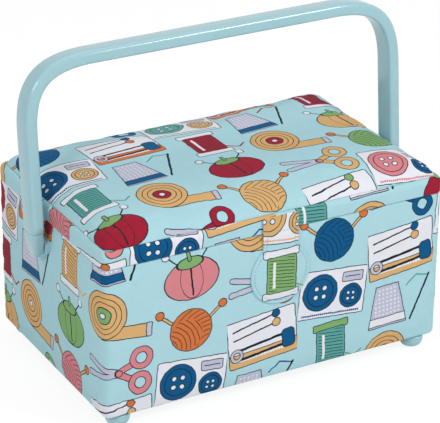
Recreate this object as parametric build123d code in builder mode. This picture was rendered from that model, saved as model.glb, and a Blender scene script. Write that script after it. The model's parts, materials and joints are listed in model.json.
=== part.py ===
"""Padded sewing box on ball feet, with one hinged lid, a closing tab and a folding bail handle.

Millimetres.  X runs along the front, -Y is the front, +Z is up.  The origin is on the floor under the
middle of the box.
"""

from build123d import *
from math import cos, radians, sin, sqrt
import os

# ---------------------------------------------------------------- driving dimensions
box_length = 320.0          # outside of the cloth, along X
box_depth = 204.0           # outside of the cloth, along Y
body_height = 135.0         # lower box, without its feet
rim_height = 14.2           # lid band, up to the seam of the padded top
crown_height = 14.8         # padded top above that seam
corner_radius = 7.0         # upright corners
foot_height = 12.0          # floor to the cloth under the box

cover_thickness = 0.8       # printed cloth
padding_thickness = 2.6     # wadding on the walls
board_thickness = 3.0       # wall and lid boards
base_thickness = 4.0        # bottom board
lining_thickness = 0.8      # cloth inside
base_pad_thickness = 1.8    # lined card on the bottom board
lid_pad_thickness = 1.2     # lined card inside the lid
hem_width = 10.0            # cloth turned in under the bottom board
lid_gap = 0.4               # lid edge above the body's edge

foot_radius = 10.5
foot_flat_radius = 5.0
foot_widest_height = 7.5    # height of the dome's widest place
foot_dome_slope = 0.25      # how steeply the dome leaves the flat
foot_top_draw_in = 0.4      # the flank leans in to the top by this
foot_inset_x = 17.0         # foot centre from the outside face
foot_inset_y = 13.0
base_cover_inset = 3.0
base_cover_thickness = 0.8
screw_radius = 1.5
screw_head_radius = 3.3
screw_head_height = 2.5
screw_head_lift = 2.0       # head above the floor
screw_bite = 3.0            # screw inside the bottom board
screw_clearance = 0.05

handle_lean = 5.2           # degrees, back from upright
pivot_drop = 20.0           # pivot below the body's top edge
handle_side_gap = 7.0       # side of the box to the inner face of a leg
handle_arm = 155.5          # pivot to the middle of the bar
handle_corner_length = 59.0 # corner's reach along the bar
handle_corner_height = 56.0 # corner's reach along the leg
handle_corner_fullness = 0.73  # 0.55 is a round corner, 1 a square one
handle_thickness = 11.0
handle_width = 21.0
handle_edge_radius = 3.6
leg_end = 15.0              # lower end of a leg above the pivot

collar_end = 7.0            # lower end of the boot's collar above the pivot
boot_tip = -8.0             # lower end of the boot
boot_inset = 0.5            # collar inside the leg's outline
boot_tip_thickness = 5.5
boot_tip_width = 10.0
boot_corner_radius = 2.4
boot_taper = [(0.0, 0.0), (0.35, 0.22), (0.75, 0.62), (1.0, 1.0)]  # share of length, of narrowing
tenon_thickness = 5.6
tenon_width = 13.0
tenon_length = 12.0
tenon_clearance = 0.1
boss_radius = 6.5

stud_radius = 3.0
stud_grip = 3.0             # stud beyond the middle of the boot
running_clearance = 0.05    # radial
press_clearance = 0.02      # radial, where two pieces are driven together
bush_sleeve_radius = 4.5
bush_flange_radius = 7.5
bush_gap = 0.3              # boot boss to bush flange
clip_radius = 6.0
clip_thickness = 1.1
clip_recess_depth = 1.4
clip_recess_clearance = 0.6

tab_width = 33.0            # neck
tab_disc_radius = 28.5
tab_disc_drop = 37.4        # lid edge to the middle of the disc
tab_neck_radius = 10.0      # hollow corner between neck and disc
tab_gap = 0.3               # tab to the front of the body
tab_hinge_drop = 2.7        # lid edge to the upper end of the free flap
tab_back_thickness = 1.0
tab_stiffener_thickness = 2.2
tab_face_thickness = 1.2
tab_edge = 1.0              # cloth round the stiffener's edge
tab_anchor_thickness = 2.2
tab_anchor_margin = 0.5
magnet_radius = 9.0
magnet_thickness = 2.0
magnet_clearance = 0.1
plate_thickness = 1.2       # steel disc behind the cloth

hinge_tape_length = 300.0
hinge_tape_width = 18.0
hinge_tape_thickness = 0.8
hinge_tape_relief = 2.0     # hinge line to the glued edge of the tape

tray_height = 30.0
tray_wall = 1.6
tray_divider = 1.4
tray_divider_height = 24.0
tray_corner_radius = 5.0
tray_clearance = 1.0
tray_drop = 4.7             # tray's top edge below the body's edge
tray_front_cells = 2
tray_back_cells = 3
finger_radius = 12.0
ledge_width = 7.0
ledge_height = 6.0
ledge_end_gap = 2.0

pincushion_length = 96.0
pincushion_width = 66.0
pincushion_height = 9.0
pincushion_corner_radius = 14.0
pincushion_x = 84.0
pincushion_profile = [(0.0, 2.0), (0.45, 0.0), (0.8, 5.0), (1.0, 14.0)]  # share of height, inset
pocket_length = 150.0
pocket_width = 118.0
pocket_thickness = 2.4
pocket_x = -62.0
pocket_y = 14.0
elastic_width = 8.0
elastic_thickness = 3.6

# padded top: distance inside the outline and share of the crown's height
crown_profile = [
    (0.0, 0.0), (3.4, 0.13), (5.6, 0.22), (8.0, 0.38), (12.0, 0.56), (18.0, 0.71), (34.0, 0.9), (70.0, 1.0)
]
crown_corner_growth = 0.3   # how fast the outline's corners open towards the middle
crown_corner_share = 0.9    # largest corner, as a share of half the outline's shorter side
smallest_corner = 0.5

# ---------------------------------------------------------------- derived places
board_outer = cover_thickness + padding_thickness      # all three are insets from the outside
board_inner = board_outer + board_thickness
lining_inner = board_inner + lining_thickness

body_bottom = foot_height
body_top = body_bottom + body_height
carcass_bottom = body_bottom + cover_thickness
carcass_top = body_top - cover_thickness
floor_top = carcass_bottom + base_thickness
lid_bottom = body_top + lid_gap
seam_z = lid_bottom + rim_height
lid_inside = seam_z - board_thickness                  # underside of the lid board
base_cover_bottom = body_bottom - base_cover_thickness

pivot_z = body_top - pivot_drop
up_leg = Vector(0, sin(radians(handle_lean)), cos(radians(handle_lean)))
handle_plane = Plane(origin=(0, 0, pivot_z), x_dir=(1, 0, 0), z_dir=(0, -up_leg.Z, up_leg.Y))
boss_face = box_length / 2 + handle_side_gap
handle_half_span = boss_face + handle_thickness / 2    # middle plane of the box to a leg's middle
recess_face = box_length / 2 - board_inner + clip_recess_depth
stud_end = box_length / 2 - board_inner + (clip_recess_depth - clip_thickness) / 2

front_face = box_depth / 2
tab_plane = Plane.XZ.offset(front_face)                # local Z leaves the front of the box
disc_z = lid_bottom - tab_disc_drop
tab_back_face = tab_gap
tab_core_face = tab_back_face + tab_back_thickness
tab_front_face = tab_core_face + tab_stiffener_thickness + tab_face_thickness

tray_length = box_length - 2 * (lining_inner + tray_clearance)
tray_depth = box_depth - 2 * (lining_inner + tray_clearance)
tray_top = body_top - tray_drop
tray_bottom = tray_top - tray_height
lining_face = lid_inside - lid_pad_thickness           # what the pincushion and pocket are sewn to


# ---------------------------------------------------------------- shared shapes
def outline(inset, radius=None, mode=Mode.ADD):
    """The box's plan, drawn in by inset, in the sketch that is open."""
    corner = max(corner_radius - inset, smallest_corner) if radius is None else radius
    RectangleRounded(box_length - 2 * inset, box_depth - 2 * inset, corner, mode=mode)


def square_outline(inset, mode=Mode.ADD):
    """The plan of the boards, which meet in square corners."""
    Rectangle(box_length - 2 * inset, box_depth - 2 * inset, mode=mode)


def side_bore(radius, start, depth):
    """A hole along X through both short sides, on the handle's axis, from start towards the middle."""
    for side in (-1, 1):
        with BuildSketch(Plane.YZ.offset(side * start)) as circle:
            with Locations((0, pivot_z)):
                Circle(radius)
        extrude(circle.sketch, amount=-side * depth, mode=Mode.SUBTRACT)


def crown(skin, mode=Mode.ADD):
    """The padded top, as a stack of outlines that draw in and rise, smaller all over by skin."""
    levels = []
    for inset, share in crown_profile:
        with BuildSketch(Plane.XY.offset(seam_z + share * (crown_height - skin))) as level:
            opened = corner_radius - skin + crown_corner_growth * inset
            outline(inset + skin, min(opened, crown_corner_share * (box_depth / 2 - inset - skin)))
        levels.append(level.sketch)
    loft(levels, ruled=True, mode=mode)


def rod(start, stop, radius, mode=Mode.ADD):
    """A round bar on the handle's axis, from x = start to x = stop."""
    with BuildSketch(Plane.YZ.offset(start)) as circle:
        with Locations((0, pivot_z)):
            Circle(radius)
    extrude(circle.sketch, amount=stop - start, mode=mode)


def keyhole(inset=0.0):
    """Free part of the tab: a disc below a neck, with hollow corners between them."""
    radius = tab_disc_radius - inset
    half_neck = tab_width / 2 - inset
    flap_top = lid_bottom - tab_hinge_drop
    with Locations((0, disc_z)):
        Circle(radius)
    with Locations((0, (disc_z + flap_top) / 2)):
        Rectangle(2 * half_neck, flap_top - disc_z)
    join_z = disc_z + sqrt(radius**2 - half_neck**2)
    joins = sorted(vertices(), key=lambda corner: abs(corner.Y - join_z))[:2]
    fillet(joins, tab_neck_radius)


def tab_layer(inset, start, thickness, mode=Mode.ADD):
    """One keyhole layer of the tab, start in front of the box's face."""
    with BuildSketch(tab_plane.offset(start)) as layer:
        keyhole(inset)
    extrude(layer.sketch, amount=thickness, mode=mode)


def tab_disc(radius, start, thickness, mode=Mode.ADD):
    """A disc on the middle of the tab."""
    with BuildSketch(tab_plane.offset(start)) as disc:
        with Locations((0, disc_z)):
            Circle(radius)
    extrude(disc.sketch, amount=thickness, mode=mode)


def save(piece, name):
    """Name a finished piece and write it."""
    piece.label = name
    export_step(piece, f"parts/{name}.step")


os.makedirs("parts", exist_ok=True)
foot_places = {
    "front_left": (-box_length / 2 + foot_inset_x, -box_depth / 2 + foot_inset_y),
    "front_right": (box_length / 2 - foot_inset_x, -box_depth / 2 + foot_inset_y),
    "back_left": (-box_length / 2 + foot_inset_x, box_depth / 2 - foot_inset_y),
    "back_right": (box_length / 2 - foot_inset_x, box_depth / 2 - foot_inset_y),
}

# ---------------------------------------------------------------- lower box: boards
with BuildPart() as base_board:
    with BuildSketch(Plane.XY.offset(carcass_bottom)):
        square_outline(board_inner)
    extrude(amount=base_thickness)
    with BuildSketch(Plane.XY.offset(carcass_bottom)):
        with Locations(*foot_places.values()):
            Circle(screw_radius + screw_clearance)
    extrude(amount=screw_bite + screw_clearance, mode=Mode.SUBTRACT)
save(base_board.part, "base_board")


def long_board(side, low, high):
    """A front (-1) or back (1) board, which runs past the side boards."""
    with BuildPart() as board:
        with BuildSketch(Plane.XY.offset(low)):
            with Locations((0, side * (box_depth / 2 - board_outer - board_thickness / 2))):
                Rectangle(box_length - 2 * board_outer, board_thickness)
        extrude(amount=high - low)
    return board.part


def short_board(side, low, high):
    """A left (-1) or right (1) board, between the long ones."""
    with BuildPart() as board:
        with BuildSketch(Plane.XY.offset(low)):
            with Locations((side * (box_length / 2 - board_outer - board_thickness / 2), 0)):
                Rectangle(board_thickness, box_depth - 2 * board_inner)
        extrude(amount=high - low)
        if low < pivot_z < high:
            side_bore(bush_sleeve_radius + press_clearance, box_length / 2, board_inner)
            recess = clip_radius + clip_recess_clearance
            side_bore(recess, recess_face, clip_recess_depth)
    return board.part


for name, side in (("front", -1), ("back", 1)):
    save(long_board(side, carcass_bottom, carcass_top), f"{name}_board")
    save(long_board(side, lid_bottom + cover_thickness, lid_inside), f"lid_rim_{name}")
for name, side in (("left", -1), ("right", 1)):
    save(short_board(side, carcass_bottom, carcass_top), f"{name}_board")
    save(short_board(side, lid_bottom + cover_thickness, lid_inside), f"lid_rim_{name}")

# ---------------------------------------------------------------- lower box: wadding and cloth
with BuildPart() as wall_padding:
    with BuildSketch(Plane.XY.offset(carcass_bottom)):
        outline(cover_thickness)
        square_outline(board_outer, Mode.SUBTRACT)
    extrude(amount=carcass_top - carcass_bottom)
    side_bore(bush_sleeve_radius + press_clearance, box_length / 2, board_outer)
    tab_disc(magnet_radius + magnet_clearance, -cover_thickness, -plate_thickness, Mode.SUBTRACT)
save(wall_padding.part, "wall_padding")

with BuildPart() as body_cover:
    with BuildSketch(Plane.XY.offset(body_bottom)):
        outline(0)
    extrude(amount=body_height)
    with BuildSketch(Plane.XY.offset(carcass_bottom)):
        outline(cover_thickness)
    extrude(amount=carcass_top - carcass_bottom, mode=Mode.SUBTRACT)
    with BuildSketch(Plane.XY.offset(carcass_top)):
        square_outline(board_inner)
    extrude(amount=cover_thickness, mode=Mode.SUBTRACT)
    with BuildSketch(Plane.XY.offset(body_bottom)):
        square_outline(hem_width)
    extrude(amount=cover_thickness, mode=Mode.SUBTRACT)
    side_bore(bush_sleeve_radius + press_clearance, box_length / 2, cover_thickness)
save(body_cover.part, "body_cover")

with BuildPart() as base_cover:
    with BuildSketch(Plane.XY.offset(base_cover_bottom)):
        outline(base_cover_inset)
    extrude(amount=base_cover_thickness)
    with BuildSketch(Plane.XY.offset(body_bottom)):
        square_outline(hem_width)
    extrude(amount=cover_thickness)
    with BuildSketch(Plane.XY.offset(base_cover_bottom)):
        with Locations(*foot_places.values()):
            Circle(screw_radius + screw_clearance)
    extrude(amount=carcass_bottom - base_cover_bottom, mode=Mode.SUBTRACT)
save(base_cover.part, "base_cover")

with BuildPart() as wall_lining:
    with BuildSketch(Plane.XY.offset(floor_top)):
        square_outline(board_inner)
        square_outline(lining_inner, Mode.SUBTRACT)
    extrude(amount=body_top - floor_top)
save(wall_lining.part, "wall_lining")

with BuildPart() as base_lining:
    with BuildSketch(Plane.XY.offset(floor_top)):
        square_outline(lining_inner)
    extrude(amount=base_pad_thickness)
save(base_lining.part, "base_lining")

with BuildPart() as magnet_plate:
    tab_disc(magnet_radius, -cover_thickness, -plate_thickness)
save(magnet_plate.part, "magnet_plate")

# ---------------------------------------------------------------- feet and their screws
for name, (x, y) in foot_places.items():
    with BuildPart() as foot:
        with BuildSketch(Plane(origin=(x, y, 0), x_dir=(1, 0, 0), z_dir=(0, -1, 0))):
            with BuildLine():
                flat = Line((0, 0), (foot_flat_radius, 0))
                widest = (foot_radius, foot_widest_height)
                dome = Spline(flat @ 1, widest, tangents=[(1, foot_dome_slope), (0, 1)])
                flank = Line(dome @ 1, (foot_radius - foot_top_draw_in, base_cover_bottom))
                top = Line(flank @ 1, (0, base_cover_bottom))
                Line(top @ 1, flat @ 0)
            make_face()
        revolve(axis=Axis((x, y, 0), (0, 0, 1)))
        with BuildSketch(Plane.XY):
            with Locations((x, y)):
                Circle(screw_head_radius + screw_clearance)
        extrude(amount=screw_head_lift + screw_head_height, mode=Mode.SUBTRACT)
        with BuildSketch(Plane.XY):
            with Locations((x, y)):
                Circle(screw_radius + screw_clearance)
        extrude(amount=foot_height, mode=Mode.SUBTRACT)
    save(foot.part, f"foot_{name}")

with BuildPart() as foot_screws:
    with BuildSketch(Plane.XY.offset(screw_head_lift)):
        with Locations(*foot_places.values()):
            Circle(screw_head_radius)
    extrude(amount=screw_head_height)
    with BuildSketch(Plane.XY.offset(screw_head_lift)):
        with Locations(*foot_places.values()):
            Circle(screw_radius)
    extrude(amount=carcass_bottom + screw_bite - screw_head_lift)
save(foot_screws.part, "foot_screws")

# ---------------------------------------------------------------- tray on its two ledges
for name, side in (("left", -1), ("right", 1)):
    with BuildPart() as ledge:
        with BuildSketch(Plane.XY.offset(tray_bottom - ledge_height)):
            with Locations((side * (box_length / 2 - lining_inner - ledge_width / 2), 0)):
                Rectangle(ledge_width, box_depth - 2 * (lining_inner + ledge_end_gap))
        extrude(amount=ledge_height)
    save(ledge.part, f"tray_ledge_{name}")


def cell_row(count, y_low, y_high):
    """Equal compartments side by side, between two values of y: their middles and sizes."""
    room = tray_length - 2 * tray_wall - (count - 1) * tray_divider
    cell = room / count
    start = -tray_length / 2 + tray_wall + cell / 2
    middles = [(start + i * (cell + tray_divider), (y_low + y_high) / 2) for i in range(count)]
    return middles, cell, y_high - y_low


tray_inner = tray_depth / 2 - tray_wall
cell_rows = [
    cell_row(tray_front_cells, -tray_inner, -tray_divider / 2),
    cell_row(tray_back_cells, tray_divider / 2, tray_inner),
]
with BuildPart() as organiser_tray:
    with BuildSketch(Plane.XY.offset(tray_bottom)):
        RectangleRounded(tray_length, tray_depth, tray_corner_radius)
    extrude(amount=tray_height)
    for middles, cell_length, cell_depth in cell_rows:
        with BuildSketch(Plane.XY.offset(tray_bottom + tray_wall)):
            with Locations(*middles):
                RectangleRounded(cell_length, cell_depth, tray_corner_radius - tray_wall)
        extrude(amount=tray_divider_height, mode=Mode.SUBTRACT)
    rim_low = tray_bottom + tray_wall + tray_divider_height
    with BuildSketch(Plane.XY.offset(rim_low)):
        inner_corner = tray_corner_radius - tray_wall
        RectangleRounded(tray_length - 2 * tray_wall, tray_depth - 2 * tray_wall, inner_corner)
    extrude(amount=tray_top - rim_low, mode=Mode.SUBTRACT)
    with BuildSketch(Plane.YZ):
        with Locations((0, tray_top)):
            Circle(finger_radius)
    extrude(amount=tray_length, both=True, mode=Mode.SUBTRACT)
save(organiser_tray.part, "organiser_tray")

# ---------------------------------------------------------------- hinge tape, one half on each side
tape_plane = Plane.XZ.offset(-box_depth / 2)
for name, low in (
    ("body", lid_bottom - lid_gap / 2 - hinge_tape_relief - hinge_tape_width),
    ("lid", lid_bottom - lid_gap / 2 + hinge_tape_relief),
):
    width = hinge_tape_width if name == "body" else seam_z - low - hinge_tape_relief
    with BuildPart() as tape:
        with BuildSketch(tape_plane):
            with Locations((0, low + width / 2)):
                Rectangle(hinge_tape_length, width)
        extrude(amount=-hinge_tape_thickness)
    save(tape.part, f"hinge_tape_{name}")

# ---------------------------------------------------------------- lid
with BuildPart() as lid_board:
    with BuildSketch(Plane.XY.offset(lid_inside)):
        square_outline(board_outer)
    extrude(amount=board_thickness)
save(lid_board.part, "lid_board")

with BuildPart() as rim_padding:
    with BuildSketch(Plane.XY.offset(lid_bottom + cover_thickness)):
        outline(cover_thickness)
        square_outline(board_outer, Mode.SUBTRACT)
    extrude(amount=rim_height - cover_thickness)
save(rim_padding.part, "rim_padding")

with BuildPart() as lid_band:
    with BuildSketch(Plane.XY.offset(lid_bottom)):
        outline(0)
    extrude(amount=rim_height)
    with BuildSketch(Plane.XY.offset(lid_bottom + cover_thickness)):
        outline(cover_thickness)
    extrude(amount=rim_height, mode=Mode.SUBTRACT)
    with BuildSketch(Plane.XY.offset(lid_bottom)):
        square_outline(board_inner)
    extrude(amount=cover_thickness, mode=Mode.SUBTRACT)
save(lid_band.part, "lid_band")

with BuildPart() as lid_padding:
    crown(cover_thickness)
save(lid_padding.part, "lid_padding")

with BuildPart() as lid_cover:
    crown(0)
    crown(cover_thickness, Mode.SUBTRACT)
save(lid_cover.part, "lid_cover")

with BuildPart() as lid_lining:
    with BuildSketch(Plane.XY.offset(lid_bottom)):
        square_outline(board_inner)
        square_outline(lining_inner, Mode.SUBTRACT)
    extrude(amount=lid_inside - lid_bottom)
    with BuildSketch(Plane.XY.offset(lining_face)):
        square_outline(lining_inner)
    extrude(amount=lid_pad_thickness)
save(lid_lining.part, "lid_lining")

with BuildPart() as pincushion:
    for share, inset in pincushion_profile:
        length, width = pincushion_length - 2 * inset, pincushion_width - 2 * inset
        with BuildSketch(Plane.XY.offset(lining_face - share * pincushion_height)):
            with Locations((pincushion_x, 0)):
                RectangleRounded(length, width, pincushion_corner_radius)
    loft(ruled=True)
save(pincushion.part, "pincushion")

with BuildPart() as lid_pocket:
    with BuildSketch(Plane.XY.offset(lining_face)):
        with Locations((pocket_x, pocket_y)):
            RectangleRounded(pocket_length, pocket_width, corner_radius)
    extrude(amount=-pocket_thickness)
save(lid_pocket.part, "lid_pocket")

with BuildPart() as pocket_elastic:
    with BuildSketch(Plane.XY.offset(lining_face)):
        with Locations((pocket_x, pocket_y - (pocket_width + elastic_width) / 2)):
            Rectangle(pocket_length, elastic_width)
    extrude(amount=-elastic_thickness)
save(pocket_elastic.part, "pocket_elastic")

# ---------------------------------------------------------------- closing tab
with BuildPart() as tab_anchor:
    low = lid_bottom + tab_anchor_margin
    high = seam_z - tab_anchor_margin
    with BuildSketch(tab_plane):
        with Locations((0, (low + high) / 2)):
            Rectangle(tab_width, high - low)
    extrude(amount=tab_anchor_thickness)
save(tab_anchor.part, "tab_anchor")

with BuildPart() as tab_back:
    tab_layer(0, tab_back_face, tab_back_thickness)
save(tab_back.part, "tab_back")

with BuildPart() as tab_stiffener:
    tab_layer(tab_edge, tab_core_face, tab_stiffener_thickness)
    tab_disc(magnet_radius + magnet_clearance, tab_core_face, tab_stiffener_thickness, Mode.SUBTRACT)
save(tab_stiffener.part, "tab_stiffener")

with BuildPart() as tab_magnet:
    tab_disc(magnet_radius, tab_core_face, magnet_thickness)
save(tab_magnet.part, "tab_magnet")

with BuildPart() as tab_face:
    tab_layer(0, tab_core_face, tab_front_face - tab_core_face)
    tab_layer(tab_edge, tab_core_face, tab_stiffener_thickness, Mode.SUBTRACT)
save(tab_face.part, "tab_face")


# ---------------------------------------------------------------- handle
def bail_line():
    """Middle line of the handle in its own plane: a straight leg, corner, bar, corner and leg."""
    with BuildLine(handle_plane) as middle:
        corner_start = handle_arm - handle_corner_height
        corner_pull = handle_corner_fullness * handle_corner_height
        bar_end = handle_half_span - handle_corner_length
        bar_pull = handle_corner_fullness * handle_corner_length
        for side in (-1, 1):
            Line((side * handle_half_span, leg_end), (side * handle_half_span, corner_start))
            Bezier(
                (side * handle_half_span, corner_start),
                (side * handle_half_span, corner_start + corner_pull),
                (side * (bar_end + bar_pull), handle_arm),
                (side * bar_end, handle_arm),
            )
        Line((-bar_end, handle_arm), (bar_end, handle_arm))
    return middle.wire()


def leg_plane(side, height):
    """Plane across a leg, at a height above the pivot along the leg."""
    origin = Vector(side * handle_half_span, 0, pivot_z) + up_leg * height
    return Plane(origin=origin, x_dir=(1, 0, 0), z_dir=up_leg)


with BuildPart() as handle_bail:
    with BuildSketch(leg_plane(-1, leg_end)):
        RectangleRounded(handle_thickness, handle_width, handle_edge_radius)
    sweep(path=bail_line())
    for side in (-1, 1):
        with BuildSketch(leg_plane(side, leg_end)):
            Rectangle(tenon_thickness + 2 * tenon_clearance, tenon_width + 2 * tenon_clearance)
        extrude(amount=tenon_length + tenon_clearance, mode=Mode.SUBTRACT)
save(handle_bail.part, "handle_bail")

for name, side in (("left", -1), ("right", 1)):
    collar_thickness = handle_thickness - 2 * boot_inset
    collar_width = handle_width - 2 * boot_inset
    with BuildPart() as boot:
        with BuildSketch(leg_plane(side, collar_end)):
            RectangleRounded(collar_thickness, collar_width, boot_corner_radius)
        extrude(amount=leg_end - collar_end)
        with BuildSketch(leg_plane(side, leg_end)):
            Rectangle(tenon_thickness, tenon_width)
        extrude(amount=tenon_length)
        for share, narrowing in boot_taper:
            with BuildSketch(leg_plane(side, collar_end + share * (boot_tip - collar_end))):
                tip_thickness = collar_thickness + narrowing * (boot_tip_thickness - collar_thickness)
                tip_width = collar_width + narrowing * (boot_tip_width - collar_width)
                RectangleRounded(tip_thickness, tip_width, boot_corner_radius)
        loft(ruled=True)
        rod(side * handle_half_span, side * boss_face, boss_radius)
        rod(side * boss_face, side * (handle_half_span + stud_grip), stud_radius + press_clearance,
            Mode.SUBTRACT)
    save(boot.part, f"handle_boot_{name}")

    with BuildPart() as stud:
        rod(side * (handle_half_span + stud_grip), side * stud_end, stud_radius)
    save(stud.part, f"pivot_stud_{name}")

    with BuildPart() as bush:
        rod(side * box_length / 2, side * (boss_face - bush_gap), bush_flange_radius)
        rod(side * box_length / 2, side * recess_face, bush_sleeve_radius)
        rod(side * recess_face, side * boss_face, stud_radius + running_clearance, Mode.SUBTRACT)
    save(bush.part, f"pivot_bush_{name}")

    with BuildPart() as clip:
        rod(side * (stud_end + clip_thickness), side * stud_end, clip_radius)
        rod(side * (stud_end + clip_thickness), side * stud_end, stud_radius + press_clearance, Mode.SUBTRACT)
    save(clip.part, f"stud_clip_{name}")
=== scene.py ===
"""Looks of a padded, cloth-covered sewing box: printed cloth, wadding, moulded plastic, lining and stage.

Metres.  X runs along the front, -Y is the front, +Z is up.  Every piece takes its place from the frame.
"""

import json
import math

import bmesh
import bpy
from bpy.props import FloatProperty, FloatVectorProperty, PointerProperty
from mathutils import Color, Matrix, Vector, geometry, noise


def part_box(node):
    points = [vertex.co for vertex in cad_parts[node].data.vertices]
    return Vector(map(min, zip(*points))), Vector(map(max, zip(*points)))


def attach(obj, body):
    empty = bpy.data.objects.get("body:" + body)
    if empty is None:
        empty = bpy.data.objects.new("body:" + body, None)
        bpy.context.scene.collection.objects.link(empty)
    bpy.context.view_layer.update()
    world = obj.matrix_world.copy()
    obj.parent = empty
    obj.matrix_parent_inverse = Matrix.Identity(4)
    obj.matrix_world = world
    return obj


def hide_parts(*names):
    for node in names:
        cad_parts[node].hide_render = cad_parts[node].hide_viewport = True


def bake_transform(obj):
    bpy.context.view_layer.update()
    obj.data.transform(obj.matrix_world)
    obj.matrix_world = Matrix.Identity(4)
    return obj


bl_info = {
    "name": "Padded Sewing Box",
    "version": (1, 0, 0),
    "blender": (4, 5, 0),
    "location": "3D Viewport > Sidebar > Sewing Box",
    "description": "Dresses the frame of a padded sewing box in cloth, wadding and plastic",
    "category": "Object",
}

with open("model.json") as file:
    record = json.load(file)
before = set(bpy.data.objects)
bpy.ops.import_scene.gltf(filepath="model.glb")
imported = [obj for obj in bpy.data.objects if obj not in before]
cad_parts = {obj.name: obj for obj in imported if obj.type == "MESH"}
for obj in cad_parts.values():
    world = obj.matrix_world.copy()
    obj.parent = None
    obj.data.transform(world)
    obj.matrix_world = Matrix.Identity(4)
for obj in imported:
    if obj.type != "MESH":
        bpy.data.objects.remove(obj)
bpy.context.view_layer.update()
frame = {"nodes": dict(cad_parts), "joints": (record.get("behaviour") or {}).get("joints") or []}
MM = 0.001
CLOTH_MAP = "Cloth"                    # each corner's place on the cloth, in metres


# ---------------------------------------------------------------- sizes and colours
def length(default, name, description):
    """A length that a user may change."""
    return FloatProperty(name=name, description=description, default=default, min=0.0, unit="LENGTH")


def paint(red, green, blue, name, description):
    """A colour that a user may change, given as it looks on a screen, from 0 to 255."""
    shown = (red / 255, green / 255, blue / 255)
    return FloatVectorProperty(
        name=name, description=description, default=shown, min=0.0, max=1.0, size=3,
        subtype="COLOR_GAMMA",
    )


class SewingBoxSizes(bpy.types.PropertyGroup):
    """Sizes of the soft and moulded parts that the frame leaves open."""

    corner: length(7 * MM, "Corner", "Radius of the box's upright corners")
    lower_edge: length(4 * MM, "Lower Edge", "Radius of the padded edge under the box")
    wall_swell: length(0.7 * MM, "Wall Swell", "How far the wadding lifts the middle of a wall")
    seam_inset: length(4.0 * MM, "Seam Inset", "Edge of the lid to the seam of its padded top")
    tab_stitch: length(3.0 * MM, "Tab Stitch", "Edge of the tab to its row of stitches")
    stitch: length(2.5 * MM, "Stitch", "Length of a stitch")
    stitch_gap: length(0.9 * MM, "Stitch Gap", "Cloth between two stitches")
    thread: length(0.25 * MM, "Thread", "Radius of the sewing thread")
    motif_width: length(67 * MM, "Motif Width", "Room for one motif along the cloth")
    motif_height: length(50 * MM, "Motif Height", "Room for one motif up the cloth")
    motif_scale: FloatProperty(name="Motif Scale", description="Size of a motif in its room", default=1.28)
    yarn: length(0.5 * MM, "Yarn", "Distance between the threads of the woven cloth")
    handle_lean: FloatProperty(
        name="Handle Lean", description="How far the handle leans back from upright",
        default=math.radians(5.2), unit="ROTATION",
    )
    handle_arm: length(155.5 * MM, "Handle Arm", "Pivot to the middle of the bar")
    handle_thickness: length(11 * MM, "Handle Thickness", "Section of the handle along the box")
    handle_width: length(21 * MM, "Handle Width", "Section of the handle from front to back")
    handle_corner_length: length(59 * MM, "Corner Length", "Reach of a corner along the bar")
    handle_corner_height: length(56 * MM, "Corner Height", "Reach of a corner along the leg")
    handle_fullness: FloatProperty(
        name="Handle Fullness", description="Shape of a corner: 0.55 is round and 1 is square", default=0.73,
    )
    leg_end: length(15 * MM, "Leg End", "Lower end of a leg above the pivot")


class SewingBoxColours(bpy.types.PropertyGroup):
    """Colours of the cloth, its print and the plastic."""

    ground: paint(173, 215, 224, "Ground", "Cloth behind the print")
    crimson: paint(158, 28, 50, "Crimson", "Red of the print")
    blue: paint(0, 86, 136, "Blue", "Deep blue of the print")
    orange: paint(210, 116, 62, "Orange", "Orange of the print")
    lime: paint(128, 172, 108, "Lime", "Green of the print")
    mustard: paint(218, 174, 116, "Mustard", "Yellow of the print")
    mint: paint(92, 164, 158, "Mint", "Blue-green of the print")
    pink: paint(214, 132, 138, "Pink", "Pink of the print")
    chalk: paint(230, 231, 238, "Chalk", "Off-white of the print and of the elastic")
    lilac: paint(190, 193, 212, "Lilac", "Grey of the print")
    ink: paint(16, 32, 48, "Ink", "Lines round the printed shapes")
    plastic: paint(157, 197, 206, "Plastic", "Handle and feet")
    lining: paint(206, 228, 228, "Lining", "Cloth inside")
    thread: paint(130, 176, 190, "Thread", "Sewing thread")
    cushion: paint(204, 74, 92, "Pincushion", "Cloth of the pincushion")


def sizes():
    """The sizes in use."""
    return bpy.context.scene.sewing_box_sizes


def colour(name):
    """A colour in use, as the shader wants it."""
    shown = Color(getattr(bpy.context.scene.sewing_box_colours, name))
    return (*shown.from_srgb_to_scene_linear(), 1.0)


# ---------------------------------------------------------------- shader maths
class Wire:
    """An output of a node. Arithmetic on it adds Math nodes."""

    def __init__(self, graph, socket):
        self.graph = graph
        self.socket = socket

    def maths(self, operation, *others, clamp=False):
        """A Math node on this value and others."""
        return self.graph.maths(operation, self, *others, clamp=clamp)

    def vector(self, operation, *others, output=0):
        """A Vector Math node on this vector and others."""
        return self.graph.add("ShaderNodeVectorMath", {"operation": operation}, (self, *others), output)

    def __add__(self, other):
        return self.maths("ADD", other)

    def __sub__(self, other):
        return self.maths("SUBTRACT", other)

    def __rsub__(self, other):
        return self.graph.maths("SUBTRACT", other, self)

    def __mul__(self, other):
        return self.maths("MULTIPLY", other)

    def __truediv__(self, other):
        return self.maths("DIVIDE", other)

    def __rtruediv__(self, other):
        return self.graph.maths("DIVIDE", other, self)

    def __neg__(self):
        return self.maths("MULTIPLY", -1.0)

    def __abs__(self):
        return self.maths("ABSOLUTE")

    __radd__ = __add__
    __rmul__ = __mul__


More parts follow.
